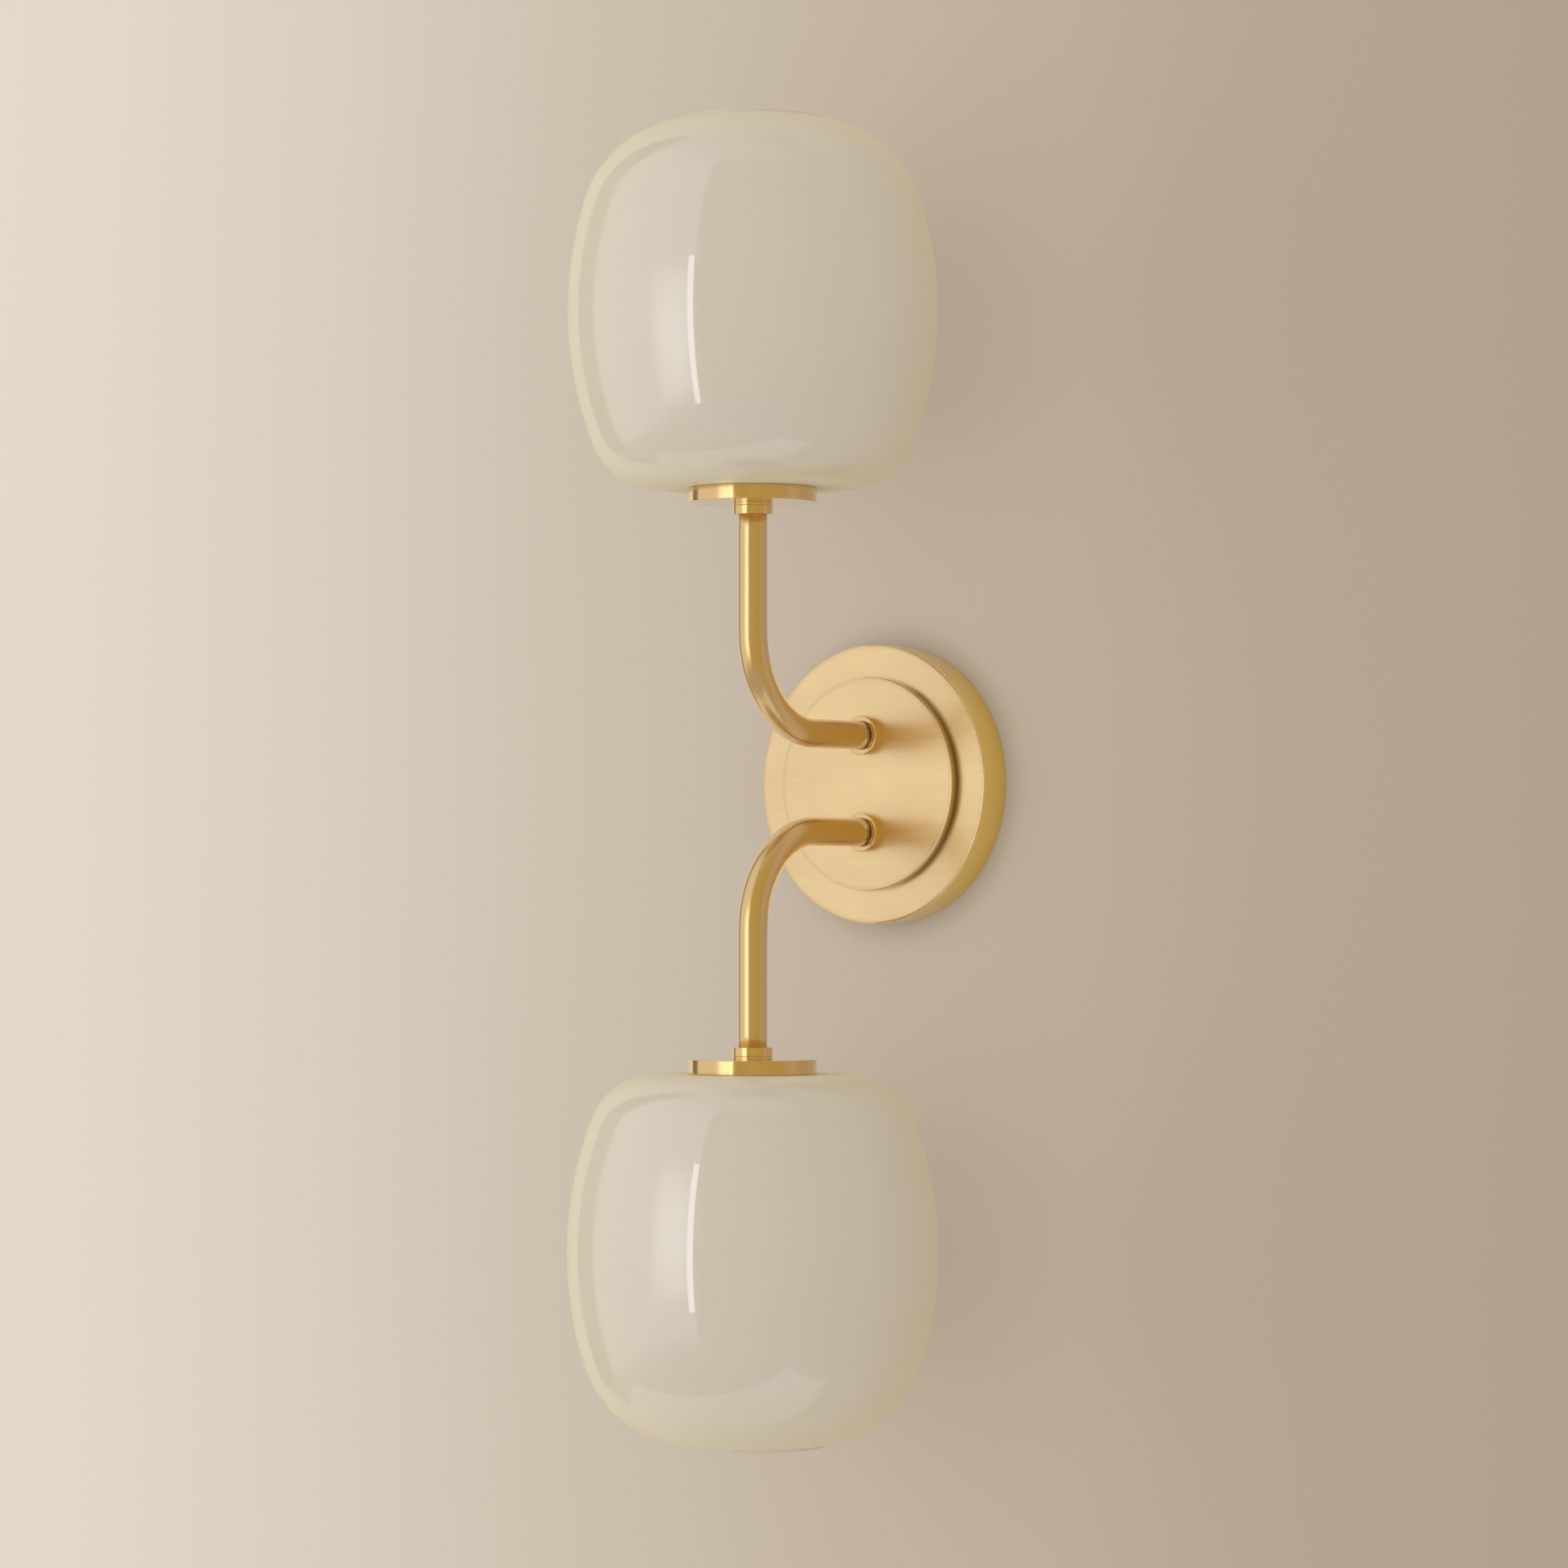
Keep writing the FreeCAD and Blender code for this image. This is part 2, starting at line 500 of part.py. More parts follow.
# Glass shade: blown, flat at the fitter hole, with a heel, a long side and a shoulder that are three
# tangent arcs. The far end is open, and its cut rim stands up as a low lip. The wall is even.
def make_glass_shade(side, sign):
    shade = doc.addObject("PartDesign::Body", side + "_glass_shade")
    sketch = new_sketch(shade, side + "_glass_section", "XZ_Plane")
    wall, heel_x, heel_r = dim("glass_wall"), dim("heel_flat"), dim("heel_radius")
    side_r, belly, top_r = dim("side_radius"), dim("belly_height"), dim("shoulder_radius")
    rim_x, rim_z = dim("rim_radius"), dim("shoulder_height")
    lip_z = rim_z + dim("rim_lip")
    rise = belly.value - heel_r.value
    side_x = heel_x.value - math.sqrt((side_r.value - heel_r.value) ** 2 - rise ** 2)
    top_x, top_z = meeting_point((side_x, belly.value), side_r.value - top_r.value,
                                 (rim_x.value, rim_z.value), top_r.value)
    low_turn = math.atan2(heel_r.value - belly.value, heel_x.value - side_x)
    high_turn = math.atan2(top_z - belly.value, top_x - side_x)
    chains = []
    for inset, rim_end in ((0.0, rim_z.value), (wall.value, None)):
        reach = top_r.value - inset
        rim_at = rim_x.value - inset
        end = math.acos((rim_at - top_x) / reach)
        arcs = ((heel_x.value, heel_r.value, heel_r.value - inset, -math.pi / 2, low_turn),
                (side_x, belly.value, side_r.value - inset, low_turn, high_turn),
                (top_x, top_z, reach, high_turn, end))
        items = []
        for x, z, radius, angle_from, angle_to in arcs:
            ring = Part.Circle(Vector(x, z, 0), Vector(0, 0, 1), radius)
            items.append(sketch.addGeometry(Part.ArcOfCircle(ring, angle_from, angle_to), False))
        for low, high in zip(items, items[1:]):
            sketch.addConstraint(Sketcher.Constraint("Tangent", low, 2, high, 1))
        chains.append(items)
    outer, inner = chains
    bore = rim_x.value - wall.value
    bore_z = top_z + math.sqrt((top_r.value - wall.value) ** 2 - (bore - top_x) ** 2)
    hole = dim("fitter_radius").value

    def line(start, finish):
        segment = Part.LineSegment(Vector(start[0], start[1], 0), Vector(finish[0], finish[1], 0))
        return sketch.addGeometry(segment, False)

    base_line = line((hole, 0), (heel_x.value, 0))
    floor_line = line((heel_x.value, wall.value), (hole, wall.value))
    hole_line = line((hole, wall.value), (hole, 0))
    lip_out = line((rim_x.value, rim_z.value), (rim_x.value, lip_z.value))
    lip_top = line((rim_x.value, lip_z.value), (bore, lip_z.value))
    lip_in = line((bore, lip_z.value), (bore, bore_z))
    for constraint in (
            ("Tangent", base_line, 2, outer[0], 1), ("Tangent", floor_line, 1, inner[0], 1),
            ("Coincident", floor_line, 2, hole_line, 1), ("Coincident", hole_line, 2, base_line, 1),
            ("Coincident", outer[2], 2, lip_out, 1), ("Coincident", lip_out, 2, lip_top, 1),
            ("Coincident", lip_top, 2, lip_in, 1), ("Coincident", lip_in, 2, inner[2], 2),
            ("Vertical", lip_out), ("Vertical", lip_in), ("Vertical", hole_line),
            ("Horizontal", base_line), ("Horizontal", floor_line), ("Horizontal", lip_top)):
        sketch.addConstraint(Sketcher.Constraint(*constraint))
    pin_point(sketch, base_line, 1, dim("fitter_radius"), ZERO, "hole")
    pin_point(sketch, floor_line, 2, None, wall, "floor")
    for items, inset, tag in ((outer, ZERO, "outer"), (inner, wall, "inner")):
        pin_point(sketch, items[0], 3, heel_x, None, tag + "_heel")
        pin_point(sketch, items[1], 3, None, belly, tag + "_belly")
        for item, radius, name in zip(items, (heel_r, side_r, top_r), ("heel", "side", "shoulder")):
            size = radius - inset
            arc_size = Sketcher.Constraint("Radius", item, size.value)
            set_size(sketch, arc_size, "%s_%s_radius" % (tag, name), size)
    pin_point(sketch, outer[2], 2, rim_x, rim_z, "rim")
    pin_point(sketch, lip_top, 1, None, lip_z, "lip")
    pin_point(sketch, lip_top, 2, rim_x - wall, None, "rim_bore")
    sketch.addConstraint(Sketcher.Constraint("Horizontal", outer[2], 3, inner[2], 3))
    revolve(shade, sketch, side + "_glass_turning")
    soften(shade, dim("rim_edge"), [(rim_x, lip_z), (rim_x - wall, lip_z)])
    at_lamp_end(shade, sign, SEAT + dim("seal_thickness"))
    keep(shade, side + "_glass_shade")


# Shade ring: an L-section ring, threaded on the socket, that clamps the glass against the flange.
def make_shade_ring(side, sign):
    bore = dim("socket_radius") + dim("thread_gap")
    ring = turned(side + "_shade_ring", [
        (bore, ZERO), (dim("seal_radius"), ZERO), (dim("seal_radius"), dim("ring_foot")),
        (dim("ring_hub_radius"), dim("ring_foot")), (dim("ring_hub_radius"), dim("ring_height")),
        (bore, dim("ring_height"))])
    at_lamp_end(ring, sign, SEAT + dim("seal_thickness") + dim("glass_wall") + dim("seal_thickness"))
    keep(ring, side + "_shade_ring")


# Lamp socket: a moulded cap on the lamp nipple, and a moulded body with the brass contacts.
def make_socket(side, sign):
    outside, cap_height = dim("socket_radius"), dim("socket_cap_height")
    cap = turned(side + "_socket_cap", [
        (dim("nipple_hole"), ZERO), (outside, ZERO), (outside, cap_height),
        (dim("socket_cap_bore"), cap_height), (dim("socket_cap_bore"), dim("socket_floor")),
        (dim("nipple_hole"), dim("socket_floor"))])
    at_lamp_end(cap, sign, SEAT)
    keep(cap, side + "_socket_cap")
    deck = cap_height + dim("socket_deck")
    body = turned(side + "_socket_body", [
        (ZERO, cap_height), (outside, cap_height), (outside, dim("socket_height")),
        (dim("socket_bore"), dim("socket_height")), (dim("socket_bore"), deck), (ZERO, deck)])
    spread = dim("terminal_spread")
    shanks = [(dim("terminal_shank"), -spread, ZERO), (dim("terminal_shank"), spread, ZERO)]
    drill(body, side + "_terminal_holes", "XY_Plane", shanks, lift=deck)
    at_lamp_end(body, sign, SEAT)
    keep(body, side + "_socket_body")
    shell_bore = dim("socket_bore") - dim("shell_wall")
    shell = turned(side + "_screw_shell", [
        (dim("socket_bore") - dim("shell_lip"), deck), (dim("socket_bore"), deck),
        (dim("socket_bore"), dim("shell_top")), (shell_bore, dim("shell_top")),
        (shell_bore, deck + dim("shell_wall")),
        (dim("socket_bore") - dim("shell_lip"), deck + dim("shell_wall"))])
    at_lamp_end(shell, sign, SEAT)
    keep(shell, side + "_screw_shell")
    contact = turned(side + "_centre_contact", [
        (ZERO, deck), (dim("contact_radius"), deck), (dim("contact_radius"), deck + dim("contact_foot")),
        (dim("contact_crown"), deck + dim("contact_rise")), (ZERO, deck + dim("contact_rise"))])
    at_lamp_end(contact, sign, SEAT)
    keep(contact, side + "_centre_contact")
    screws = []
    for hand, across in (("left", -spread), ("right", spread)):
        screw = turned("%s_%s_terminal" % (side, hand), [
            (ZERO, ZERO), (dim("terminal_head"), ZERO), (dim("terminal_head"), dim("terminal_rise")),
            (dim("terminal_shank"), dim("terminal_rise")),
            (dim("terminal_shank"), dim("terminal_rise") + dim("socket_deck")),
            (ZERO, dim("terminal_rise") + dim("socket_deck"))])
        level = SEAT + cap_height - dim("terminal_rise")
        place(screw, FLIPPED[sign], along_y=-dim("arm_reach"), up=signed(level, sign), across=across)
        screws.append(screw)
    group(side + "_terminals", screws)


# Nuts inside the socket caps hold sockets, flanges and arms together.
def make_socket_nuts():
    nuts = []
    for side, sign in SIDES:
        nut = hex_nut(side + "_socket_nut")
        at_lamp_end(nut, sign, SEAT + dim("socket_floor"))
        nuts.append(nut)
    group("socket_nuts", nuts)


# Bulb: a metal screw cap, its insulator with the tip contact, and a long frosted glass envelope that
# is slim enough for the glass shade to be drawn off over it.
def make_bulb(side, sign):
    cap_wall = dim("cap_wall")
    insulator = turned(side + "_bulb_insulator", [
        (ZERO, dim("tip_height")), (dim("tip_radius"), dim("tip_height")),
        (dim("tip_radius"), dim("insulator_height")), (dim("cap_foot_radius"), dim("cap_foot")),
        (ZERO, dim("cap_foot"))])
    at_lamp_end(insulator, sign, SEAT)
    keep(insulator, side + "_bulb_insulator")
    shoulder, cap_floor = dim("cap_foot") + dim("cap_shoulder"), dim("cap_foot") + cap_wall
    cap_bore = dim("cap_radius") - cap_wall
    cap = turned(side + "_bulb_cap", [
        (ZERO, dim("cap_foot")), (dim("cap_foot_radius"), dim("cap_foot")),
        (dim("cap_radius"), shoulder), (dim("cap_radius"), dim("cap_top")),
        (cap_bore, dim("cap_top")), (cap_bore, shoulder),
        (dim("cap_foot_radius") - cap_wall, cap_floor), (ZERO, cap_floor)])
    at_lamp_end(cap, sign, SEAT)
    keep(cap, side + "_bulb_cap")
    skins = []
    for name, inset in (("outside", ZERO), ("inside", dim("bulb_wall"))):
        bulge = doc.addObject("Part::Ellipsoid", "%s_bulb_bulge_%s" % (side, name))
        bind_all(bulge, {"Radius1": dim("bulb_half_height") - inset,
                         "Radius2": dim("bulb_radius") - inset,
                         "Radius3": dim("bulb_radius") - inset,
                         "Placement.Base.z": dim("bulb_centre")})
        neck = doc.addObject("Part::Cylinder", "%s_bulb_neck_%s" % (side, name))
        bind_all(neck, {"Radius": cap_bore - inset, "Height": dim("neck_top") - dim("neck_foot"),
                        "Placement.Base.z": dim("neck_foot")})
        skin = doc.addObject("Part::Fuse", "%s_bulb_%s" % (side, name))
        skin.Base, skin.Tool = bulge, neck
        skins.append(skin)
    envelope = doc.addObject("Part::Cut", side + "_bulb_glass")
    envelope.Base, envelope.Tool = skins
    at_lamp_end(envelope, sign, SEAT)
    keep(envelope, side + "_bulb_glass")


def rounded_run(stops):
    """A wire of straight runs joined by tangent arcs, through stops given as (point, arc radius)."""
    edges = []
    here = stops[0][0]
    for (before, _), (corner, radius), (after, _) in zip(stops, stops[1:], stops[2:]):
        inward = (before - corner).normalize()
        onward = (after - corner).normalize()
        half = inward.getAngle(onward) / 2
        step = radius / math.tan(half)
        middle = corner + (inward + onward).normalize() * (radius / math.sin(half) - radius)
        start, finish = corner + inward * step, corner + onward * step
        edges.append(Part.LineSegment(here, start).toShape())
        edges.append(Part.Arc(start, middle, finish).toShape())
        here = finish
    edges.append(Part.LineSegment(here, stops[-1][0]).toShape())
    return Part.Wire(edges)


def round_lead(name, stops):
    """An insulated wire of the lead's radius along a rounded run."""
    run = rounded_run(stops)
    start = stops[0][0]
    heading = (stops[1][0] - start).normalize()
    ring = Part.Wire([Part.makeCircle(dim("lead_radius").value, start, heading)])
    solid = run.makePipeShell([ring], True, False)
    expected = math.pi * dim("lead_radius").value ** 2 * run.Length
    if abs(solid.Volume / expected - 1) > 0.01:
        raise RuntimeError(name + " has the wrong volume")
    lead = doc.addObject("Part::Feature", name)
    lead.Shape = solid
    return lead


# Leads: a black and a white wire from each socket's terminals, through the arm, to the connectors.
def make_arm_leads(side, sign):
    reach, offset = dim("arm_reach").value, dim("arm_offset").value
    aside, depth = dim("lead_spread").value, dim("lead_depth").value
    bend, small = dim("arm_bend").value, dim("lead_bend").value
    head = SEAT + dim("socket_cap_height") - dim("terminal_rise")
    terminal = (head - dim("lead_radius")).value
    sunk = (dim("nut_mouth") + dim("nut_bore_depth") - dim("lead_stop")).value
    gather = dim("lead_gather").value
    for colour, hand in (("black", -1), ("white", 1)):
        stops = [
            (Vector(hand * dim("terminal_spread").value, -reach, sign * terminal), 0),
            (Vector(hand * aside, -reach, sign * terminal), small),
            (Vector(hand * aside, -reach, sign * offset), bend),
            (Vector(hand * aside, -depth, sign * offset), small),
            (Vector(hand * gather, -depth, sign * aside), small),
            (Vector(hand * sunk, -depth, sign * aside), 0)]
        label = "%s_%s_lead" % (side, colour)
        keep(round_lead(label, stops), label)


# Ground lead: it passes the ground screw's shank under the head, follows the strap down, and then
# lifts off it to its own connector.
def make_ground_lead():
    aside = (dim("ground_radius") + dim("lead_radius")).value
    under_head = (dim("strap_thickness") + dim("lead_radius")).value
    depth, drop, small = dim("lead_depth").value, dim("ground_nut_drop").value, dim("lead_bend").value
    sunk = (dim("nut_mouth") + dim("nut_bore_depth") - dim("lead_stop")).value
    stops = [
        (Vector(aside, -under_head, aside), 0),
        (Vector(aside, -under_head, -drop), small),
        (Vector(dim("ground_gather").value, -depth, -drop), small),
        (Vector(sunk, -depth, -drop), 0)]
    keep(round_lead("ground_lead", stops), "ground_lead")


# Twist-on connectors, lying across the pan: one for each colour, and one for the ground.
def make_wire_nuts():
    nuts = []
    spots = (("black", -1, ZERO), ("white", 1, ZERO), ("ground", 1, -dim("ground_nut_drop")))
    for name, hand, up in spots:
        nut = turned(name + "_connector", [
            (dim("nut_mouth_bore"), ZERO), (dim("nut_mouth_radius"), ZERO),
            (dim("nut_mouth_radius"), dim("nut_skirt")), (dim("nut_crown_radius"), dim("nut_crown")),
            (dim("nut_tip_radius"), dim("nut_length")), (ZERO, dim("nut_length")),
            (ZERO, dim("nut_bore_depth")), (dim("nut_mouth_bore"), dim("nut_bore_depth"))])
        place(nut, Rotation(Vector(0, 1, 0), 90 * hand), along_y=-dim("lead_depth"), up=up,
              across=signed(dim("nut_mouth"), hand))
        nuts.append(nut)
    group("wire_nuts", nuts)


def check_and_write():
    doc.recompute()
    for thing in doc.Objects:
        if "Invalid" in thing.State or "Error" in thing.State:
            raise RuntimeError("%s is %s" % (thing.Name, thing.State))
    os.makedirs("parts", exist_ok=True)
    for label, piece in parts.items():
        if piece.Shape.isNull() or not piece.Shape.isValid():
            raise RuntimeError(label + " has no valid shape")
    for label, piece in parts.items():
        piece.Shape.exportStep(os.path.join("parts", label + ".step"))
    print(len(parts), "pieces written")


make_backplate()
make_raised_disc()
make_wall_bracket()
make_set_screws()
make_ground_screw()
make_arm_locks()
make_socket_nuts()
make_ground_lead()
make_wire_nuts()
for arm_side, arm_sign in SIDES:
    for make in (make_plate_collar, make_arm_tube, make_nipples, make_arm_sleeve, make_flange,
                 make_soft_rings, make_glass_shade, make_shade_ring, make_socket, make_bulb,
                 make_arm_leads):
        make(arm_side, arm_sign)
check_and_write()
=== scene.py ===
import bmesh
import bpy
import math
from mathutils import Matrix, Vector


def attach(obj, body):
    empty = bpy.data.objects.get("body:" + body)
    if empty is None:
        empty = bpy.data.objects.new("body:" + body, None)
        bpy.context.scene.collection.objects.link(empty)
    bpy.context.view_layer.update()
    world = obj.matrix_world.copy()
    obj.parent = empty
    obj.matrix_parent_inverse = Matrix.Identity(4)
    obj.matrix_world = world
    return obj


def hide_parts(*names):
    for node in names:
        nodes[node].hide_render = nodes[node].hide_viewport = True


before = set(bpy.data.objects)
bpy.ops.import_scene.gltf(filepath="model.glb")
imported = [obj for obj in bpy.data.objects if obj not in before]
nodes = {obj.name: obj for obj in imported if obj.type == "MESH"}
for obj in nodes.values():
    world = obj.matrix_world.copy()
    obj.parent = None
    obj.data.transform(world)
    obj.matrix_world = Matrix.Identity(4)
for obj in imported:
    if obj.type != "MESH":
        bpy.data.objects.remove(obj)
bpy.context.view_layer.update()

# The camera stands right of the lamp, a little below its middle, and far away with a long lens, so
# that the wall and both shades show almost without perspective.
aim = Vector((-0.0164, -0.060, -0.0005))
camera_distance = 2.4475
azimuth, elevation = math.radians(38.38), math.radians(-1.29)
away = Vector((math.sin(azimuth) * math.cos(elevation), -math.cos(azimuth) * math.cos(elevation),
               math.sin(elevation)))
bpy.ops.object.select_all(action="DESELECT")
bpy.ops.object.camera_add(location=aim + away * camera_distance,
                          rotation=away.to_track_quat("Z", "Y").to_euler())
camera = bpy.context.object
camera.data.sensor_width = 36.0
camera.data.lens = 124.8
camera.data.clip_end = 50.0
bpy.context.scene.camera = camera
bpy.context.scene.view_settings.view_transform = "Standard"


# The wall is matt emulsion paint over a fine roller stipple. It is warm, with a painted falloff of
# light that makes its colour lighter towards the left. It stops where the outlet box opens behind
# the backplate, and it only shows from the front.
def find_node(tree, kind):
    """The node of a kind that a new tree holds."""
    return next(node for node in tree.nodes if node.type == kind)


def new_material(name, **values):
    """A material with only a Principled surface, given as itself, its tree and its shader."""
    material = bpy.data.materials.new(name)
    material.use_nodes = True
    shader = find_node(material.node_tree, "BSDF_PRINCIPLED")
    for socket, value in values.items():
        shader.inputs[socket.replace("_", " ")].default_value = value
    return material, material.node_tree, shader


def feed(tree, socket, value):
    """Link another node's output to a socket, or set the socket's own value."""
    if isinstance(value, bpy.types.NodeSocket):
        tree.links.new(value, socket)
    else:
        socket.default_value = value


def add_node(tree, kind, *fed, **settings):
    """A node with its properties and named inputs set, or its inputs fed in their own order."""
    node = tree.nodes.new(kind)
    for name, value in settings.items():
        if hasattr(node, name):
            setattr(node, name, value)
        else:
            feed(tree, node.inputs[name.replace("_", " ")], value)
    for socket, value in zip(node.inputs, fed):
        feed(tree, socket, value)
    return node


def calculate(tree, operation, *terms):
    """What an operation makes of numbers or other nodes' outputs."""
    return add_node(tree, "ShaderNodeMath", *terms, operation=operation).outputs[0]


def ranged(tree, value, low, high, new_low=0.0, new_high=1.0, **settings):
    """A value carried over from one range to another, and held within it."""
    return add_node(tree, "ShaderNodeMapRange", value, low, high, new_low, new_high, **settings).outputs[0]


def ramped(tree, value, stops, interpolation="LINEAR"):
    """The colour that a ramp with stops, each (position, colour), gives to a value."""
    node = add_node(tree, "ShaderNodeValToRGB", value)
    ramp = node.color_ramp
    ramp.interpolation = interpolation
    ramp.elements.remove(ramp.elements[-1])
    ramp.elements[0].position = stops[0][0]
    ramp.elements[0].color = (*stops[0][1], 1.0)
    for position, colour in stops[1:]:
        ramp.elements.new(position).color = (*colour, 1.0)
    return node.outputs["Color"]


def show_surface(tree, shader):
    """Let a shader be the surface that the material shows."""
    tree.links.new(shader.outputs[0], find_node(tree, "OUTPUT_MATERIAL").inputs["Surface"])


def show_own_tone(tree, shader, amount, tone, strength=1.0):
    """Mix a stage paint with its own plain tone, as seen and mirrored, so that shadows stay faint."""
    rays = add_node(tree, "ShaderNodeLightPath").outputs
    seen = calculate(tree, "MAXIMUM", rays["Is Camera Ray"], rays["Is Glossy Ray"])
    seen = calculate(tree, "MAXIMUM", seen, rays["Is Transmission Ray"])
    own_tone = add_node(tree, "ShaderNodeEmission", Color=tone, Strength=strength)
    share = calculate(tree, "MULTIPLY", seen, amount)
    return add_node(tree, "ShaderNodeMixShader", share, shader.outputs[0], own_tone.outputs[0])


half_width, floor_level = 1.0, -1.0
wall_paint, tree, shader = new_material("wall_paint", Roughness=0.75, Specular_IOR_Level=0.2)
place = add_node(tree, "ShaderNodeTexCoord").outputs["Object"]
across = add_node(tree, "ShaderNodeSeparateXYZ", place).outputs["X"]
# Painted light: the colour ramp runs from light on the left to dark on the right, a painted falloff of the
# light across the wall.
tone = ramped(tree, ranged(tree, across, -half_width, half_width), [
    ((at / half_width + 1) / 2, colour) for at, colour in (
        (-0.68, (0.700, 0.634, 0.545)), (-0.50, (0.690, 0.623, 0.535)), (-0.33, (0.655, 0.578, 0.485)),
        (-0.25, (0.625, 0.546, 0.453)), (-0.145, (0.590, 0.508, 0.413)), (0.05, (0.526, 0.443, 0.343)),
        (0.10, (0.512, 0.430, 0.335)), (0.16, (0.478, 0.396, 0.302)), (0.22, (0.460, 0.374, 0.287)),
        (0.34, (0.436, 0.358, 0.271)), (0.60, (0.425, 0.346, 0.252)))])
feed(tree, shader.inputs["Base Color"], tone)
stipple = add_node(tree, "ShaderNodeTexNoise", Vector=place, Scale=260.0, Detail=3.0, Roughness=0.6)
relief = add_node(tree, "ShaderNodeBump", Height=stipple.outputs[0], Strength=0.16, Distance=0.0012)
feed(tree, shader.inputs["Normal"], relief.outputs["Normal"])
# Painted sheen and shade: the wall's own tone shows up to half again brighter where it is seen at a slant, a
# little less at grazing. Ambient occlusion makes it darker near the lamp's parts, a painted contact shade.
slant = add_node(tree, "ShaderNodeLayerWeight", Blend=0.5).outputs["Facing"]
corner = add_node(tree, "ShaderNodeAmbientOcclusion", Distance=0.014, samples=8).outputs["AO"]
painted_grazing_sheen = ranged(tree, slant, 0.25, 0.55, 1.0, 1.5)
painted_corner_shade = ranged(tree, corner, 0.35, 0.95, 0.55, 1.0)
painted_sheen_limit = ranged(tree, slant, 0.70, 0.88, 1.0, 0.88)
painted_sheen_and_shade = calculate(tree, "MULTIPLY", calculate(tree, "MULTIPLY", painted_grazing_sheen, painted_corner_shade), painted_sheen_limit)
faint_shadows = show_own_tone(tree, shader, 0.62, tone, painted_sheen_and_shade)
back = add_node(tree, "ShaderNodeNewGeometry").outputs["Backfacing"]
nothing = add_node(tree, "ShaderNodeBsdfTransparent")
show_surface(tree, add_node(tree, "ShaderNodeMixShader", back, faint_shadows.outputs[0], nothing.outputs[0]))


def start_piece(name, add, **settings):
    """Add the primitive that a piece is shaped from, with its place in its mesh, ready to edit."""
    bpy.ops.object.select_all(action="DESELECT")
    add(**settings)
    bpy.ops.object.transform_apply(location=True, rotation=True, scale=True)
    piece = bpy.context.object
    piece.name = piece.data.name = name
    bpy.ops.object.mode_set(mode="EDIT")
    bpy.ops.mesh.select_all(action="SELECT")
    return piece


wall_gap, box_hole = 0.0003, 0.052
wall = start_piece("wall", bpy.ops.mesh.primitive_circle_add, vertices=64, radius=box_hole,
                   location=(0, wall_gap, 0), rotation=(math.pi / 2, 0, 0))
for growth in (1.15, 60.0):
    bpy.ops.mesh.extrude_edges_move(TRANSFORM_OT_translate={"value": (0, 0, 0)})
    bpy.ops.transform.resize(value=(growth, 1, growth), center_override=(0, wall_gap, 0))
for side in ((half_width, 0, 0), (-half_width, 0, 0), (0, 0, floor_level)):
    bpy.ops.mesh.select_all(action="SELECT")
    bpy.ops.mesh.bisect(plane_co=side, plane_no=side, clear_outer=True)
bpy.ops.object.mode_set(mode="OBJECT")
if wall.data.polygons[0].normal.y > 0:
    bpy.ops.object.mode_set(mode="EDIT")
    bpy.ops.mesh.select_all(action="SELECT")
    bpy.ops.mesh.flip_normals()
    bpy.ops.object.mode_set(mode="OBJECT")
wall.data.materials.append(wall_paint)

# The floor is pale and plain and as wide as the wall. It lies well below the lamp, outside the
# photograph, where the glass mirrors it, and shows itself only to looks from well above or below.
floor_tone, floor_depth = (0.86, 0.82, 0.74, 1), 0.66
floor_paint, tree, shader = new_material("floor_paint", Base_Color=floor_tone, Roughness=0.6)
show_surface(tree, show_own_tone(tree, shader, 0.8, floor_tone))
bpy.ops.object.select_all(action="DESELECT")
bpy.ops.mesh.primitive_plane_add(size=1.0, location=(0, -floor_depth / 2, floor_level))
floor = bpy.context.object
floor.dimensions = (2 * half_width, floor_depth, 0)
bpy.ops.object.transform_apply(location=True, rotation=False, scale=True)
floor.name = "floor"
floor.data.materials.append(floor_paint)

# Studio light: a wide soft panel stands nearly in front and glows most right of its middle, and a
# narrow bright strip at its right edge draws the sharp lines on glass and brass. Two fills, one on
# each side, light the matt surfaces only. All four face the lamps' axis, out from the wall.
reach = 0.103


def add_panel(name, azimuths, distance, heights, radiance, gloss_only=True):
    """An upright light panel that spans two azimuths and two heights and faces the lamp. It either
    only draws highlights, or only lights the matt surfaces."""
    low, high = (math.radians(angle) for angle in azimuths)
    middle = (low + high) / 2
    width = 2 * distance * math.tan((high - low) / 2)
    height = heights[1] - heights[0]
    spot = Vector((math.sin(middle) * distance, -reach - math.cos(middle) * distance, sum(heights) / 2))
    level = Vector((spot.x, spot.y + reach, 0))
    bpy.ops.object.light_add(type="AREA", location=spot, rotation=level.to_track_quat("Z", "Y").to_euler())
    panel = bpy.context.object
    panel.name = name
    panel.data.shape = "RECTANGLE"
    panel.data.size, panel.data.size_y = width, height
    panel.data.energy = radiance * math.pi * width * height
    panel.visible_camera = False
    panel.visible_diffuse = not gloss_only
    panel.visible_glossy = gloss_only
    return panel


front_panel = add_panel("front_panel", (-38, -1.5), 2.4, (-0.98, 0.93), 0.92)
front_panel.data.use_nodes = True
tree = front_panel.data.node_tree
spread = add_node(tree, "ShaderNodeNewGeometry").outputs["Parametric"]
parts = add_node(tree, "ShaderNodeSeparateXYZ", spread).outputs
falloff = calculate(tree, "MULTIPLY", *(
    ramped(tree, parts[axis], [(at, (level, level, level)) for at, level in stops], "EASE")
    for axis, stops in (("X", ((0.0, 0.0), (0.25, 0.05), (0.5, 0.75), (0.65, 0.95), (0.8, 0.9), (1.0, 0.7))),
                        ("Y", ((0.0, 0.0), (0.2, 0.75), (0.4, 1.0), (0.6, 1.0), (0.8, 0.75), (1.0, 0.0))))))
feed(tree, tree.nodes["Emission"].inputs["Strength"], falloff)
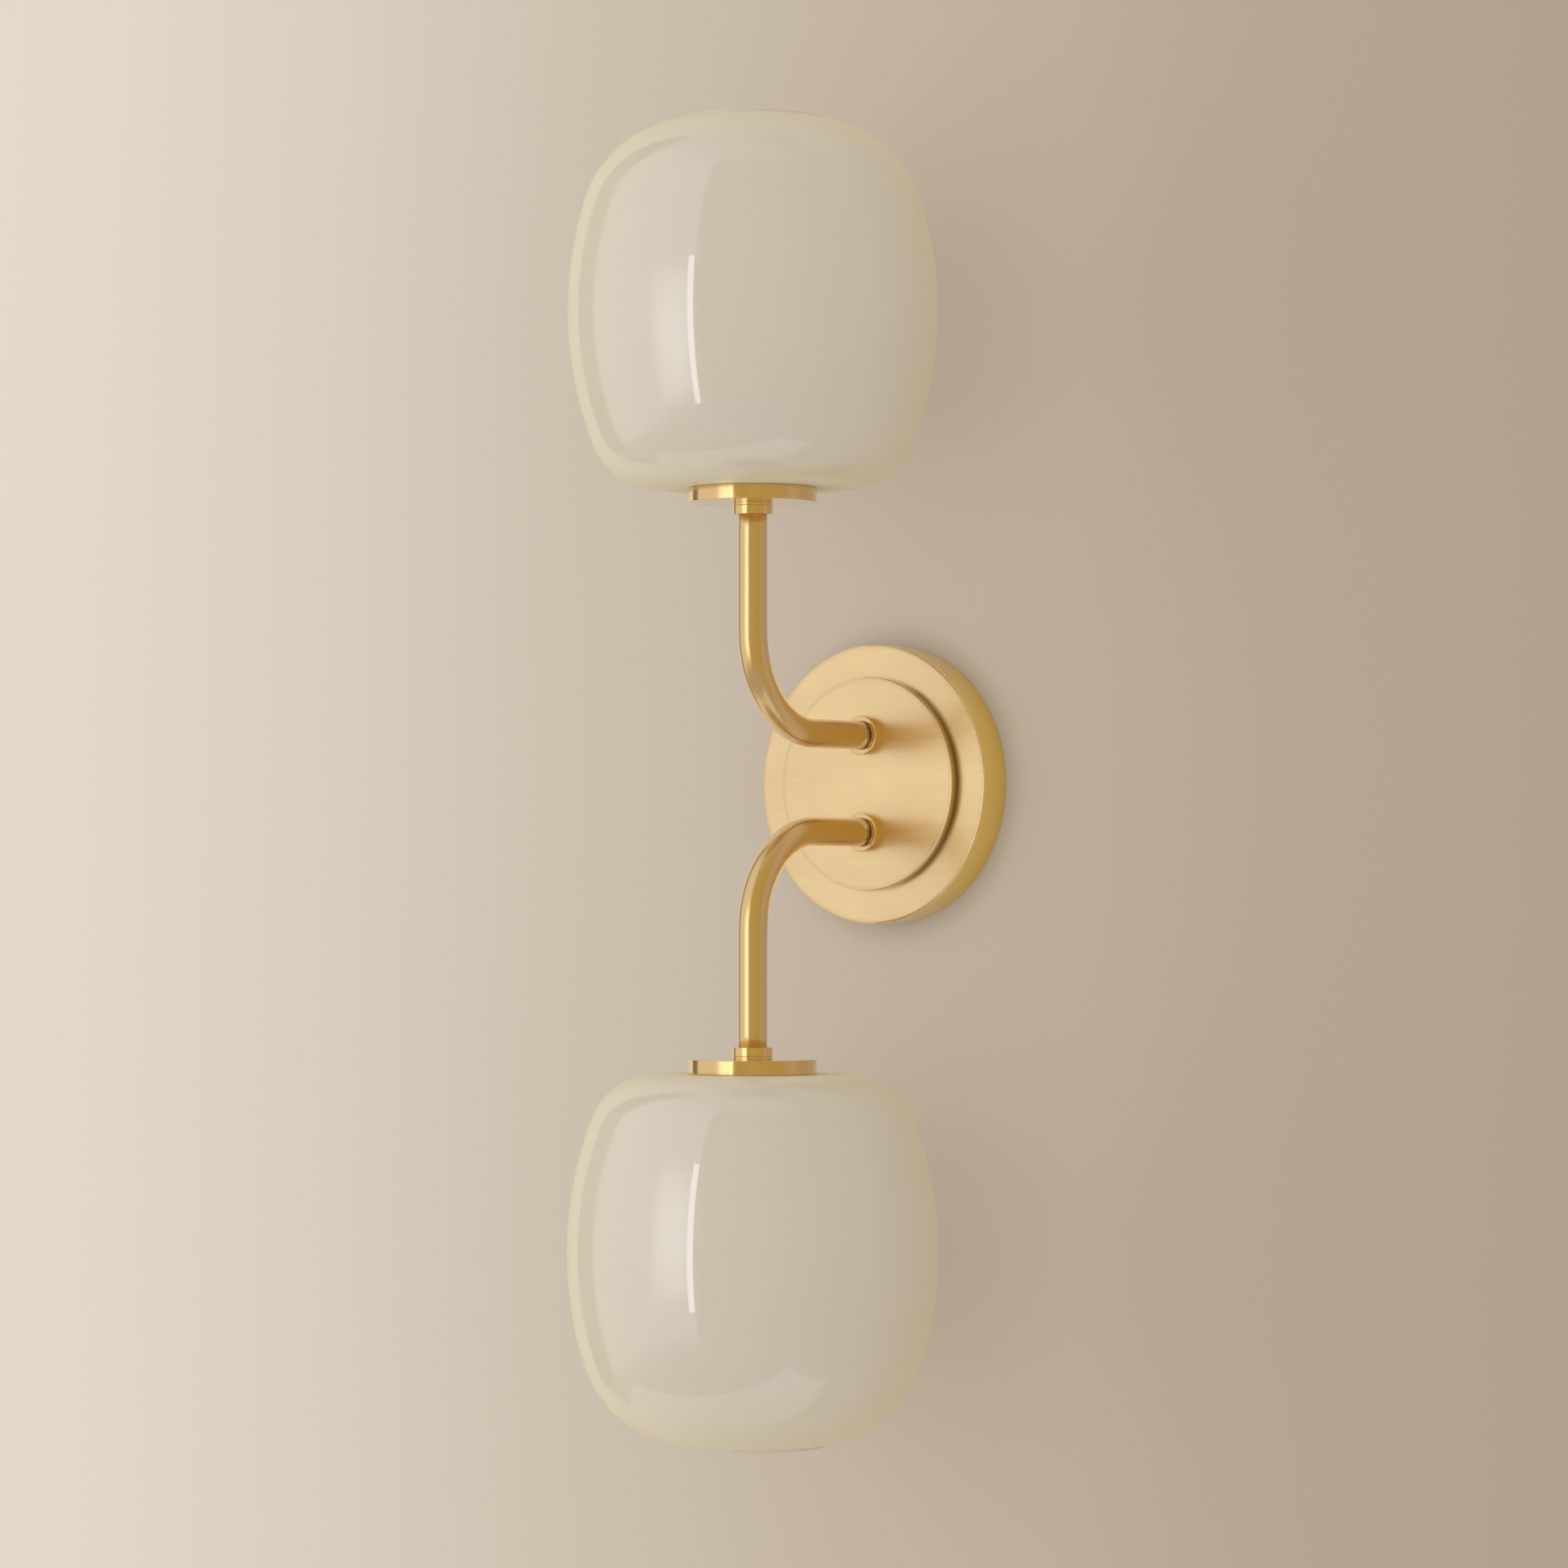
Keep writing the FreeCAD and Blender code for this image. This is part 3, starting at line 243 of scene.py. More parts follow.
add_panel("front_strip", (-1.5, 2.3), 2.4, (-0.98, 0.93), 1.9)
add_panel("left_fill", (-80, -35), 2.2, (-1.1, 1.1), 0.8, gloss_only=False)
add_panel("right_fill", (55, 88), 2.2, (-1.1, 1.1), 0.6, gloss_only=False)


# The room lights the matt surfaces evenly from all sides and looks plain and pale. What the gloss
# mirrors is bright on the left, with a dark screen on the right and the far left, and dimmer below.
def mix_colours(tree, share, first, second):
    """The colour between two, all three given as values or outputs."""
    node = add_node(tree, "ShaderNodeMix", data_type="RGBA")
    for place, value in ((0, share), (6, first), (7, second)):
        feed(tree, node.inputs[place], value)
    return node.outputs[2]


world = bpy.data.worlds.new("studio")
world.use_nodes = True
tree = world.node_tree
outlook = add_node(tree, "ShaderNodeTexCoord").outputs["Generated"]
parts = add_node(tree, "ShaderNodeSeparateXYZ", outlook).outputs
bearing = calculate(tree, "ARCTAN2", parts["X"], calculate(tree, "MULTIPLY", parts["Y"], -1.0))
room = ramped(tree, ranged(tree, bearing, -math.pi, math.pi), [
    ((degrees + 180) / 360, colour) for degrees, colour in (
        (-96, (0.25, 0.21, 0.10)), (-81, (0.25, 0.21, 0.10)), (-76, (0.86, 0.83, 0.79)),
        (2, (0.86, 0.83, 0.79)), (3, (0.50, 0.42, 0.19)), (40, (0.57, 0.47, 0.23)),
        (60, (0.54, 0.44, 0.20)), (88, (0.54, 0.44, 0.20)))])
beneath = ranged(tree, parts["Z"], -0.38, -0.50, interpolation_type="SMOOTHSTEP")
overhead = ranged(tree, parts["Z"], 0.80, 0.95, interpolation_type="SMOOTHSTEP")
rays = add_node(tree, "ShaderNodeLightPath").outputs
for amount, colour in ((beneath, (0.52, 0.46, 0.36, 1)), (overhead, (0.68, 0.64, 0.57, 1)),
                       (rays["Is Diffuse Ray"], (0.97, 0.96, 0.95, 1)),
                       (rays["Is Camera Ray"], (0.80, 0.77, 0.72, 1))):
    room = mix_colours(tree, amount, room, colour)
feed(tree, tree.nodes["Background"].inputs["Color"], room)
bpy.context.scene.world = world


# Wall bracket: a zinc plated steel strap with two slots for the outlet box's screws and a bent tab
# at each end. The pressed shape is the CAD node's own, and gets the plating's faint spangle.
def shader_group(name, inputs, outputs):
    """An empty node group with named sockets, given as itself, what it is given and its results."""
    group = bpy.data.node_groups.new(name, "ShaderNodeTree")
    for label, kind, value in inputs:
        socket = group.interface.new_socket(name=label, in_out="INPUT", socket_type=kind)
        if value is not None:
            socket.default_value = value
    for label in outputs:
        group.interface.new_socket(name=label, in_out="OUTPUT", socket_type="NodeSocketFloat")
    return group, group.nodes.new("NodeGroupInput").outputs, group.nodes.new("NodeGroupOutput").inputs


vector_in = ("Vector", "NodeSocketVector", None)
fine_mottle, given, result = shader_group(
    "fine_mottle", [vector_in, ("Scale", "NodeSocketFloat", 200.0)], ["Mottle", "Height"])
cloud = add_node(fine_mottle, "ShaderNodeTexNoise", Vector=given["Vector"], Scale=given["Scale"], Detail=4.0,
                 Roughness=0.55)
grit = add_node(fine_mottle, "ShaderNodeTexNoise", Vector=given["Vector"], Detail=2.0,
                Scale=calculate(fine_mottle, "MULTIPLY", given["Scale"], 9.0))
feed(fine_mottle, result["Mottle"], cloud.outputs[0])
feed(fine_mottle, result["Height"], grit.outputs[0])


def put_group(tree, group, **values):
    """The results of a group that is placed in a tree with its inputs set or linked."""
    node = tree.nodes.new("ShaderNodeGroup")
    node.node_tree = group
    for name, value in values.items():
        feed(tree, node.inputs[name], value)
    return node.outputs


def vary(tree, value, shader, colours, roughness):
    """Let the middle range of a noise drive the base colour and the roughness."""
    share = ranged(tree, value, 0.3, 0.7)
    tint = mix_colours(tree, share, *((*colour, 1) for colour in colours))
    feed(tree, shader.inputs["Base Color"], tint)
    feed(tree, shader.inputs["Roughness"], ranged(tree, share, 0.0, 1.0, *roughness))


def emboss(tree, value, shader, depth, strength=1.0):
    """Let a value raise the surface by up to a depth in metres."""
    bump = add_node(tree, "ShaderNodeBump", Height=value, Strength=strength, Distance=depth)
    feed(tree, shader.inputs["Normal"], bump.outputs["Normal"])


def mottled(name, colours, roughness, scale, depth, **values):
    """A material whose colour, gloss and relief follow the fine mottle."""
    material, tree, shader = new_material(name, **values)
    spot = add_node(tree, "ShaderNodeTexCoord").outputs["Object"]
    mottle = put_group(tree, fine_mottle, Scale=scale, Vector=spot)
    vary(tree, mottle["Mottle"], shader, colours, roughness)
    emboss(tree, mottle["Height"], shader, depth, 0.5)
    return material


def repaint(name, material):
    """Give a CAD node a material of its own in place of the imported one."""
    slots = nodes[name].data.materials
    slots.clear()
    slots.append(material)


strap_steel = mottled("zinc_plated_strap", [(0.50, 0.50, 0.47), (0.66, 0.66, 0.63)], (0.30, 0.48), 110.0,
                      0.00006, Metallic=1.0)
repaint("wall_bracket", strap_steel)


# Ground screw: a green washer-head machine screw in the strap's centre, cut with a slot. The ground
# lead hooks round its shank under the head.
def select_where(piece, test):
    """In edit mode, select only the vertices whose place passes the test, and what they bound."""
    net = bmesh.from_edit_mesh(piece.data)
    for corner in net.verts:
        corner.select_set(test(corner.co))
    net.select_flush_mode()
    bmesh.update_edit_mesh(piece.data)


def select_faces(piece, test):
    """In edit mode, select only the faces whose middle passes the test."""
    net = bmesh.from_edit_mesh(piece.data)
    bpy.ops.mesh.select_all(action="DESELECT")
    for face in net.faces:
        if test(face.calc_center_median()):
            face.select_set(True)
    bmesh.update_edit_mesh(piece.data)


def leave_edit(piece, smooth=35.0):
    """Weld the mesh, turn its faces outward, leave edit mode and shade all but its edges smooth."""
    bpy.ops.mesh.select_all(action="SELECT")
    bpy.ops.mesh.remove_doubles(threshold=0.000002)
    bpy.ops.mesh.normals_make_consistent(inside=False)
    bpy.ops.object.mode_set(mode="OBJECT")
    bpy.ops.object.shade_smooth_by_angle(angle=math.radians(smooth))
    return piece


def pick(piece):
    """Select one piece alone and make it the active one."""
    bpy.ops.object.select_all(action="DESELECT")
    piece.select_set(True)
    bpy.context.view_layer.objects.active = piece


def finish_with(piece, kind, **settings):
    """Put a modifier on the piece and apply it."""
    pick(piece)
    modifier = piece.modifiers.new(kind.lower(), kind)
    for name, value in settings.items():
        setattr(modifier, name, value)
    bpy.ops.object.modifier_apply(modifier=modifier.name)


def ease_edges(piece, width, segments=3, sharper=35.0):
    """Round every edge that turns by more than an angle."""
    finish_with(piece, "BEVEL", width=width, segments=segments, limit_method="ANGLE",
                angle_limit=math.radians(sharper), harden_normals=True)


def draw_ring(growth, rise):
    """Extrude the selected ring along Z and size it about the Z axis."""
    bpy.ops.mesh.extrude_edges_move(TRANSFORM_OT_translate={"value": (0, 0, rise)})
    bpy.ops.transform.resize(value=(growth, growth, 1), center_override=(0, 0, 0))


def turn(name, stops, sides=48):
    """Turn a piece round the Z axis: its ring is drawn from stop to stop, each (radius, height). A
    run that comes back to its first stop is closed, and a stop on the axis closes a pole."""
    radius, height = stops[0]
    piece = start_piece(name, bpy.ops.mesh.primitive_circle_add, vertices=sides, radius=radius,
                        location=(0, 0, height))
    for next_radius, next_height in stops[1:]:
        if next_radius:
            draw_ring(next_radius / radius, next_height - height)
        else:
            bpy.ops.mesh.extrude_edges_move(TRANSFORM_OT_translate={"value": (0, 0, next_height - height)})
            bpy.ops.mesh.merge(type="CENTER")
        radius, height = next_radius, next_height
    return piece


def carry(piece, place=(0, 0, 0), turned=(0, 0, 0)):
    """Turn a piece about the origin and carry it to its place, both kept in its mesh."""
    pick(piece)
    piece.rotation_euler = turned
    piece.location = place
    bpy.ops.object.transform_apply(location=True, rotation=True, scale=True)


def twin_of(piece, name, place=(0, 0, 0), turned=(0, math.pi, 0)):
    """A second piece with its own mesh, as a rule half a turn about the Y axis from the first."""
    pick(piece)
    bpy.ops.object.duplicate(linked=False)
    twin = bpy.context.object
    twin.name = twin.data.name = name
    carry(twin, place, turned)
    return twin


def join(pieces, name):
    """Make one object of like pieces that share a node."""
    pick(pieces[0])
    for piece in pieces:
        piece.select_set(True)
    bpy.ops.object.join()
    pieces[0].name = pieces[0].data.name = name
    return pieces[0]


def fit(piece, material, body, slot, *stands_for):
    """Paint a piece, attach it to the body it moves with and hide the CAD nodes that it stands for; the slot
    is not used.
    """
    piece.data.materials.clear()
    piece.data.materials.append(material)
    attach(piece, body)
    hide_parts(*stands_for)


def fill_where(piece, test):
    """In edit mode, close the open ring whose vertices pass the test."""
    select_where(piece, test)
    bpy.ops.mesh.fill()


def slotted_screw(name, head, shank, length, slot_half):
    """A screw that stands on the XY plane, head up: head is its (radius, height), shank its radius,
    and the slot is sunk in the head between its two flats."""
    top, slot_end, slot_depth = length + head[1], head[0] * 0.8, head[1] * 0.45
    piece = turn(name, [(shank, 0), (shank, length), (head[0], length), (head[0], top)], 32)
    bpy.ops.mesh.fill()
    fill_where(piece, lambda co: co.z < 1e-6)
    for side in (-1, 1):
        select_where(piece, lambda co: co.z > top - 1e-6)
        bpy.ops.mesh.bisect(plane_co=(0, side * slot_half, 0), plane_no=(0, 1, 0))
    for side in (-1, 1):
        select_where(piece, lambda co: co.z > top - 1e-6)
        bpy.ops.mesh.bisect(plane_co=(side * slot_end, 0, 0), plane_no=(1, 0, 0))
    select_faces(piece, lambda co: co.z > top - 1e-6 and abs(co.y) < slot_half and abs(co.x) < slot_end)
    bpy.ops.mesh.extrude_region_move(TRANSFORM_OT_translate={"value": (0, 0, -slot_depth)})
    return leave_edit(piece)


green_plating = mottled("green_dyed_plating", [(0.02, 0.16, 0.05), (0.05, 0.24, 0.09)], (0.25, 0.40), 300.0,
                        0.00003, Metallic=0.8)
ground_screw = slotted_screw("ground_screw_head", (0.0055, 0.0028), 0.0024, 0.0042, 0.0007)
carry(ground_screw, turned=(math.pi / 2, 0, 0))
fit(ground_screw, green_plating, "fixture", "ground_screw", "ground_screw")


# Leads: plastic covered wires, pulled through the arms before the sockets are wired. A black and a
# white one run from each socket's terminals to the connectors, and the green one from its screw.
def lead(name, route, material, slot, node, thickness=0.0022):
    """An insulated wire on one smooth curve past the points of its route."""
    curve = bpy.data.curves.new(name, "CURVE")
    curve.dimensions = "3D"
    curve.bevel_depth = thickness / 2
    curve.bevel_resolution = 5
    curve.use_fill_caps = True
    curve.resolution_u = 16
    line = curve.splines.new("NURBS")
    line.points.add(len(route) - 1)
    for point, spot in zip(line.points, route):
        point.co = (*spot, 1)
    line.order_u = 3
    line.use_endpoint_u = True
    piece = bpy.data.objects.new(name, curve)
    bpy.context.scene.collection.objects.link(piece)
    pick(piece)
    bpy.ops.object.convert(target="MESH")
    piece = bpy.context.object
    bpy.ops.object.shade_smooth_by_angle(angle=math.radians(50))
    fit(piece, material, "fixture", slot, node)


arm_height, terminal_height, wire_depth = 0.022, 0.1401, 0.0062
black_cover, white_cover, green_cover = (
    mottled(colour + "_wire_cover", tones, (0.30, 0.45), 160.0, 0.00003) for colour, tones in (
        ("black", [(0.012, 0.012, 0.012), (0.030, 0.030, 0.030)]),
        ("white", [(0.72, 0.71, 0.67), (0.82, 0.81, 0.77)]),
        ("green", [(0.02, 0.20, 0.06), (0.04, 0.28, 0.09)])))
for side, sign in (("upper", 1), ("lower", -1)):
    for colour, hand, cover in (("black", -1, black_cover), ("white", 1, white_cover)):
        near = hand * 0.0013
        lead("%s_%s_wire" % (side, colour), [
            (hand * 0.012, -reach, sign * terminal_height), (hand * 0.0043, -reach, sign * terminal_height),
            (near, -reach, sign * terminal_height), (near, -reach, sign * 0.1371),
            (near, -reach, sign * 0.066), (near, -reach, sign * 0.0478), (near, -0.0848, sign * 0.0300),
            (near, -0.059, sign * arm_height), (near, -0.0092, sign * arm_height),
            (near, -wire_depth, sign * arm_height),
            (hand * 0.0037, -wire_depth, sign * 0.0181), (hand * 0.0122, -wire_depth, sign * 0.0050),
            (hand * 0.0145, -wire_depth, sign * 0.0013), (hand * 0.018, -wire_depth, sign * 0.0013),
            (hand * 0.029, -wire_depth, sign * 0.0013)],
            cover, colour + "_lead", "%s_%s_lead" % (side, colour))
lead("ground_wire", [
    (0.0035, -0.0031, 0.0035), (0.0035, -0.0031, -0.023), (0.0035, -0.0031, -0.026),
    (0.0065, -0.0043, -0.026), (0.011, -wire_depth, -0.026), (0.014, -wire_depth, -0.026),
    (0.029, -wire_depth, -0.026)],
    green_cover, "ground_lead", "ground_lead")


# Wire connectors: moulded plastic caps with a skirt and grip ribs, twisted over the joined leads.
# Two lie across the pan's middle, one for each colour, and the ground's own lies below.
def size_ribs(piece, band, step, width, growth):
    """Size a band of a turned piece about the Z axis at every other rib. A step is the angle in
    degrees from one vertex to the next, and a rib's width is a number of steps."""
    select_where(piece, lambda co: band(co)
                 and round(math.degrees(math.atan2(co.y, co.x)) / step) % (2 * width) < width)
    bpy.ops.transform.resize(value=(growth, growth, 1), center_override=(0, 0, 0))


def connector(name, side, drop):
    """A twist-on connector, its mouth at one side of the pan's middle."""
    piece = turn(name, [(0.0034, 0.008), (0.0034, 0.0), (0.0052, 0.0), (0.0060, 0.0), (0.0060, 0.0060),
                        (0.0054, 0.0064), (0.0050, 0.0100), (0.0046, 0.0150), (0.0042, 0.0200),
                        (0.0030, 0.0220), (0.0016, 0.0225), (0, 0.0225)], 36)
    size_ribs(piece, lambda co: 0.0062 < co.z < 0.0202, 10, 1, 1.07)
    fill_where(piece, lambda co: abs(co.z - 0.008) < 1e-6)
    leave_edit(piece, 25)
    carry(piece, (side * 0.022, -wire_depth, drop), (0, side * math.pi / 2, 0))
    return piece


connector_plastic = mottled("orange_connector_plastic", [(0.60, 0.16, 0.015), (0.74, 0.23, 0.025)],
                            (0.35, 0.50), 220.0, 0.00005)
connectors = join([connector("black_connector", -1, 0.0), connector("white_connector", 1, 0.0),
                   connector("ground_connector", 1, -0.026)], "wire_connectors")
fit(connectors, connector_plastic, "fixture", "connector", "wire_nuts")


# Backplate and raised disc: a pan pressed from brass sheet and a flat disc on its face, both brushed
# straight across and then lacquered. Their shapes are the CAD nodes' own.
def two_noises(group, vector, result, fine, broad):
    """Lines and clouds as the group's results, from one vector that is stretched two ways."""
    for label, scale, detail in (("Lines", fine, 3.0), ("Cloud", broad, 2.0)):
        stretched = add_node(group, "ShaderNodeVectorMath", vector, scale, operation="MULTIPLY").outputs[0]
        noise = add_node(group, "ShaderNodeTexNoise", Vector=stretched, Scale=1.0, Detail=detail,
                         Roughness=0.6)
        feed(group, result[label], noise.outputs[0])


def off_axis(group, first, second):
    """How far a point lies from an axis, from its places along the two others."""
    flat = add_node(group, "ShaderNodeCombineXYZ", first, second).outputs[0]
    return add_node(group, "ShaderNodeVectorMath", flat, operation="LENGTH").outputs["Value"]


brushed_across, given, result = shader_group("brushed_across", [vector_in], ["Lines", "Cloud"])
two_noises(brushed_across, given["Vector"], result, (70.0, 900.0, 3200.0), (25.0, 25.0, 60.0))

turned_round, given, result = shader_group("turned_round", [vector_in], ["Lines", "Cloud"])
parts = add_node(turned_round, "ShaderNodeSeparateXYZ", given["Vector"]).outputs
round_axis = add_node(turned_round, "ShaderNodeCombineXYZ", off_axis(turned_round, parts["X"], parts["Y"]),
                      parts["Z"])
two_noises(turned_round, round_axis.outputs[0], result, (3000.0, 3000.0, 1.0), (160.0, 160.0, 1.0))


def brass(name, group, deep, pale, gloss, depth, coordinates="Object", centre=(0, 0, 0), turned=(0, 0, 0)):
    """Lacquered brass whose colour, gloss and relief follow the lines that its finishing left."""
    material, tree, shader = new_material(name, Metallic=1.0, Coat_Weight=1.0, Coat_Roughness=0.10)
    spot = add_node(tree, "ShaderNodeTexCoord").outputs[coordinates]
    centred = add_node(tree, "ShaderNodeMapping", spot, centre, turned, vector_type="TEXTURE")
    marks = put_group(tree, group, Vector=centred.outputs[0])
    halved = calculate(tree, "MULTIPLY", marks["Cloud"], 0.5)
    vary(tree, calculate(tree, "MULTIPLY_ADD", marks["Lines"], 0.5, halved), shader, (deep, pale), gloss)
    emboss(tree, marks["Lines"], shader, depth)
    return material


# Painted edge light: the first result paints a highlight on the outer third of a millimetre inside a plate's
# edge, and a shade line from two thirds of a millimetre to a millimetre further in. The second result is a
# mask for the plate's side behind a depth, strongest towards the wall.
painted_edge_and_side, given, result = shader_group(
    "painted_edge_and_side", [vector_in, ("Radius", "NodeSocketFloat", 0.05), ("Depth", "NodeSocketFloat", 0.01),
                     ("Fade", "NodeSocketFloat", 1.0)], ["Ring", "Side"])
parts = add_node(painted_edge_and_side, "ShaderNodeSeparateXYZ", given["Vector"]).outputs
inward = calculate(painted_edge_and_side, "SUBTRACT", given["Radius"], off_axis(painted_edge_and_side, parts["X"], parts["Z"]))
feed(painted_edge_and_side, result["Ring"], ramped(painted_edge_and_side, ranged(painted_edge_and_side, inward, 0.0, 0.004), [
    (at / 4.0, (tone, tone, tone)) for at, tone in (
        (0.0, 1.05), (0.35, 1.05), (0.65, 0.90), (1.1, 0.90), (2.4, 1.0))]))
out_of_wall = calculate(painted_edge_and_side, "MULTIPLY", parts["Y"], -1.0)
behind = calculate(painted_edge_and_side, "SUBTRACT", given["Depth"], out_of_wall)
sunk = calculate(painted_edge_and_side, "GREATER_THAN", behind, 0.0)
fading = ranged(painted_edge_and_side, behind, 0.0, given["Fade"], 0.1, 1.0)
feed(painted_edge_and_side, result["Side"], calculate(painted_edge_and_side, "MULTIPLY", sunk, fading))


def plate_brass(name, radius, depth, fade, painted_side_tone):
    """Brushed brass for a stepped plate, with a painted highlight and a painted shade line just inside its
    edge, and its side painted in a tone of its own.
    """
    material = brass(name, brushed_across, (0.82, 0.608, 0.318), (0.94, 0.712, 0.392), (0.26, 0.34), 0.000006)
    tree = material.node_tree
    colour = find_node(tree, "BSDF_PRINCIPLED").inputs["Base Color"]
    place = add_node(tree, "ShaderNodeTexCoord").outputs["Object"]
    edge = put_group(tree, painted_edge_and_side, Radius=radius, Depth=depth, Fade=fade, Vector=place)
    with_painted_edge_lines = add_node(tree, "ShaderNodeVectorMath", colour.links[0].from_socket, operation="SCALE",
                      Scale=edge["Ring"])
    feed(tree, colour, mix_colours(tree, edge["Side"], with_painted_edge_lines.outputs[0], (*painted_side_tone, 1)))
    return material


# The pan's side is painted a deeper, warmer brass than its face, a painted reflection of what it mirrors. The
# disc's side is painted dark brown, a painted contact shade that deepens towards the pan.
repaint("backplate", plate_brass("pan_brushed_brass", 0.0635, 0.0157, 0.0001, (1.0, 0.73, 0.180)))
repaint("raised_disc", plate_brass("disc_brushed_brass", 0.0485, 0.0206, 0.0034, (0.20, 0.140, 0.055)))

# Set screws: grub screws through the bracket's tabs. Their slotted ends are flush with the pan's rim
# at its top and bottom, and hold the pan against the wall.
zinc = mottled("zinc_plating", [(0.52, 0.52, 0.49), (0.68, 0.68, 0.66)], (0.22, 0.38), 260.0, 0.00003,
               Metallic=1.0)
top_screw = slotted_screw("top_set_screw", (0.0020, 0.0020), 0.0018, 0.0075, 0.0003)
carry(top_screw, (0, -0.008, 0.054))
set_screws = join([top_screw, twin_of(top_screw, "bottom_set_screw")], "slotted_set_screws")
fit(set_screws, zinc, "fixture", "zinc", "set_screws")

# Plate collars: turned brass rings seated in the raised disc, each with a rounded lip round the arm
# that passes through it.
collar_foot, collar_lip = 0.0197, 0.0252
collar_height = collar_lip - collar_foot
collar_bore, collar_radius, lip_curve = 0.00658, 0.0090, 0.0006
lip = [(collar_radius - lip_curve + lip_curve * math.cos(math.radians(angle)),
        collar_height - lip_curve + lip_curve * math.sin(math.radians(angle))) for angle in range(0, 91, 15)]
collar = turn("upper_collar", [(collar_bore, 0), (collar_radius, 0), *lip, (collar_bore, collar_height),
                               (collar_bore, 0)], 64)
leave_edit(collar)
carry(collar, (0, -collar_foot, arm_height), (math.pi / 2, 0, 0))
for side, ring, height in (("upper", collar, arm_height),
                           ("lower", twin_of(collar, "lower_collar"), -arm_height)):
    collar_brass = brass(side + "_collar_brass", turned_round, (0.78, 0.54, 0.235), (0.86, 0.62, 0.30),
                         (0.14, 0.22), 0.000008, centre=(0, 0, height), turned=(math.pi / 2, 0, 0))
    fit(ring, collar_brass, "fixture", "brass", side + "_plate_collar")

# Arms: half-inch brass tube, drawn, bent once over a former and rubbed lengthwise, so the grain
# follows the bend. The plate end goes through its collar and the other ends on the flange.
tube_radius, tube_wall, bend = 0.0065, 0.0015, 0.044
disc_face, flange_face = 0.0207, 0.1231
arm = start_piece("upper_arm", bpy.ops.mesh.primitive_circle_add, vertices=48, radius=tube_radius,
                  location=(0, -disc_face, arm_height), rotation=(math.pi / 2, 0, 0))
for step in range(3):
    bpy.ops.mesh.extrude_edges_move(TRANSFORM_OT_translate={"value": (0, -(reach - bend - disc_face) / 3, 0)})
bend_middle = Vector((0, -(reach - bend), arm_height + bend))
bpy.ops.mesh.spin(steps=24, angle=math.pi / 2, center=bend_middle, axis=(1, 0, 0))
straight = flange_face - arm_height - bend
for step in range(5):
    bpy.ops.mesh.extrude_edges_move(TRANSFORM_OT_translate={"value": (0, 0, straight / 5)})
leave_edit(arm)


def along_arm(co):
    """How far along the upper arm a point lies, and its angle round the tube's axis."""
    if co.y > bend_middle.y:
        return -disc_face - co.y, math.atan2(co.z - arm_height, co.x)
    flat_run = reach - bend - disc_face
    if co.z > bend_middle.z:
        return flat_run + bend * math.pi / 2 + co.z - bend_middle.z, math.atan2(-reach - co.y, co.x)
    away_y, away_z = bend_middle.y - co.y, bend_middle.z - co.z
    swept = math.atan2(away_y, away_z)
    return flat_run + bend * swept, math.atan2(bend - math.hypot(away_y, away_z), co.x)


grain_map = arm.data.uv_layers.new(name="lengthwise")
for face in arm.data.polygons:
    spots = [along_arm(arm.data.vertices[index].co) for index in face.vertices]
    turns = [angle / (2 * math.pi) for _, angle in spots]
    for loop, (run, _), share in zip(face.loop_indices, spots, turns):
        crosses_seam = share < max(turns) - 0.5
        grain_map.data[loop].uv = (share + 1.0 if crosses_seam else share, run)
finish_with(arm, "SOLIDIFY", thickness=tube_wall, offset=-1)

drawn_along, given, result = shader_group("drawn_along", [vector_in], ["Lines", "Cloud"])
parts = add_node(drawn_along, "ShaderNodeSeparateXYZ", given["Vector"]).outputs
whole_turn = calculate(drawn_along, "MULTIPLY", parts["X"], 2 * math.pi)
round_tube = add_node(drawn_along, "ShaderNodeCombineXYZ", calculate(drawn_along, "COSINE", whole_turn),
                      calculate(drawn_along, "SINE", whole_turn), parts["Y"])
two_noises(drawn_along, round_tube.outputs[0], result, (16.0, 16.0, 90.0), (3.0, 3.0, 50.0))
arm_brass = brass("arm_drawn_brass", drawn_along, (0.73, 0.50, 0.21), (0.83, 0.61, 0.31), (0.20, 0.30),
                  0.00002, coordinates="UV")


def fit_both(piece, material, body, slot, node):
    """Fit an upper piece and its lower twin, whose names, bodies and nodes differ in that word."""
    twin = twin_of(piece, piece.name.replace("upper", "lower"))
    for side, one in (("upper", piece), ("lower", twin)):
        fit(one, material, body.replace("upper", side), slot, node.replace("upper", side))


fit_both(arm, arm_brass, "fixture", "brass", "upper_arm_tube")


# Nipples: short threaded pipes brazed into both ends of each arm, for the nuts behind the pan and in
# the socket caps.
def threaded_pipe(name, bore, root, crest, height, pitch=0.00094):
    """A pipe that stands on the XY plane with a thread's ridges on its outside."""
    stops = [(bore, height), (bore, 0), (root, 0)]
    for ridge in range(int(height / pitch)):
        stops += [(crest, (ridge + 0.5) * pitch), (root, (ridge + 1) * pitch)]
    return leave_edit(turn(name, stops + [(root, height), (bore, height)], 24), 20)


wall_nipple = threaded_pipe("upper_wall_stud", 0.0035, 0.0046, 0.0050, 0.0242)
carry(wall_nipple, (0, -0.0105, arm_height), (math.pi / 2, 0, 0))
lamp_nipple = threaded_pipe("upper_lamp_stud", 0.0035, 0.0046, 0.0050, 0.0275)
carry(lamp_nipple, (0, -reach, flange_face - 0.014))
for stud, node in ((wall_nipple, "upper_wall_nipple"), (lamp_nipple, "upper_lamp_nipple")):
    fit_both(stud, zinc, "fixture", "zinc", node)


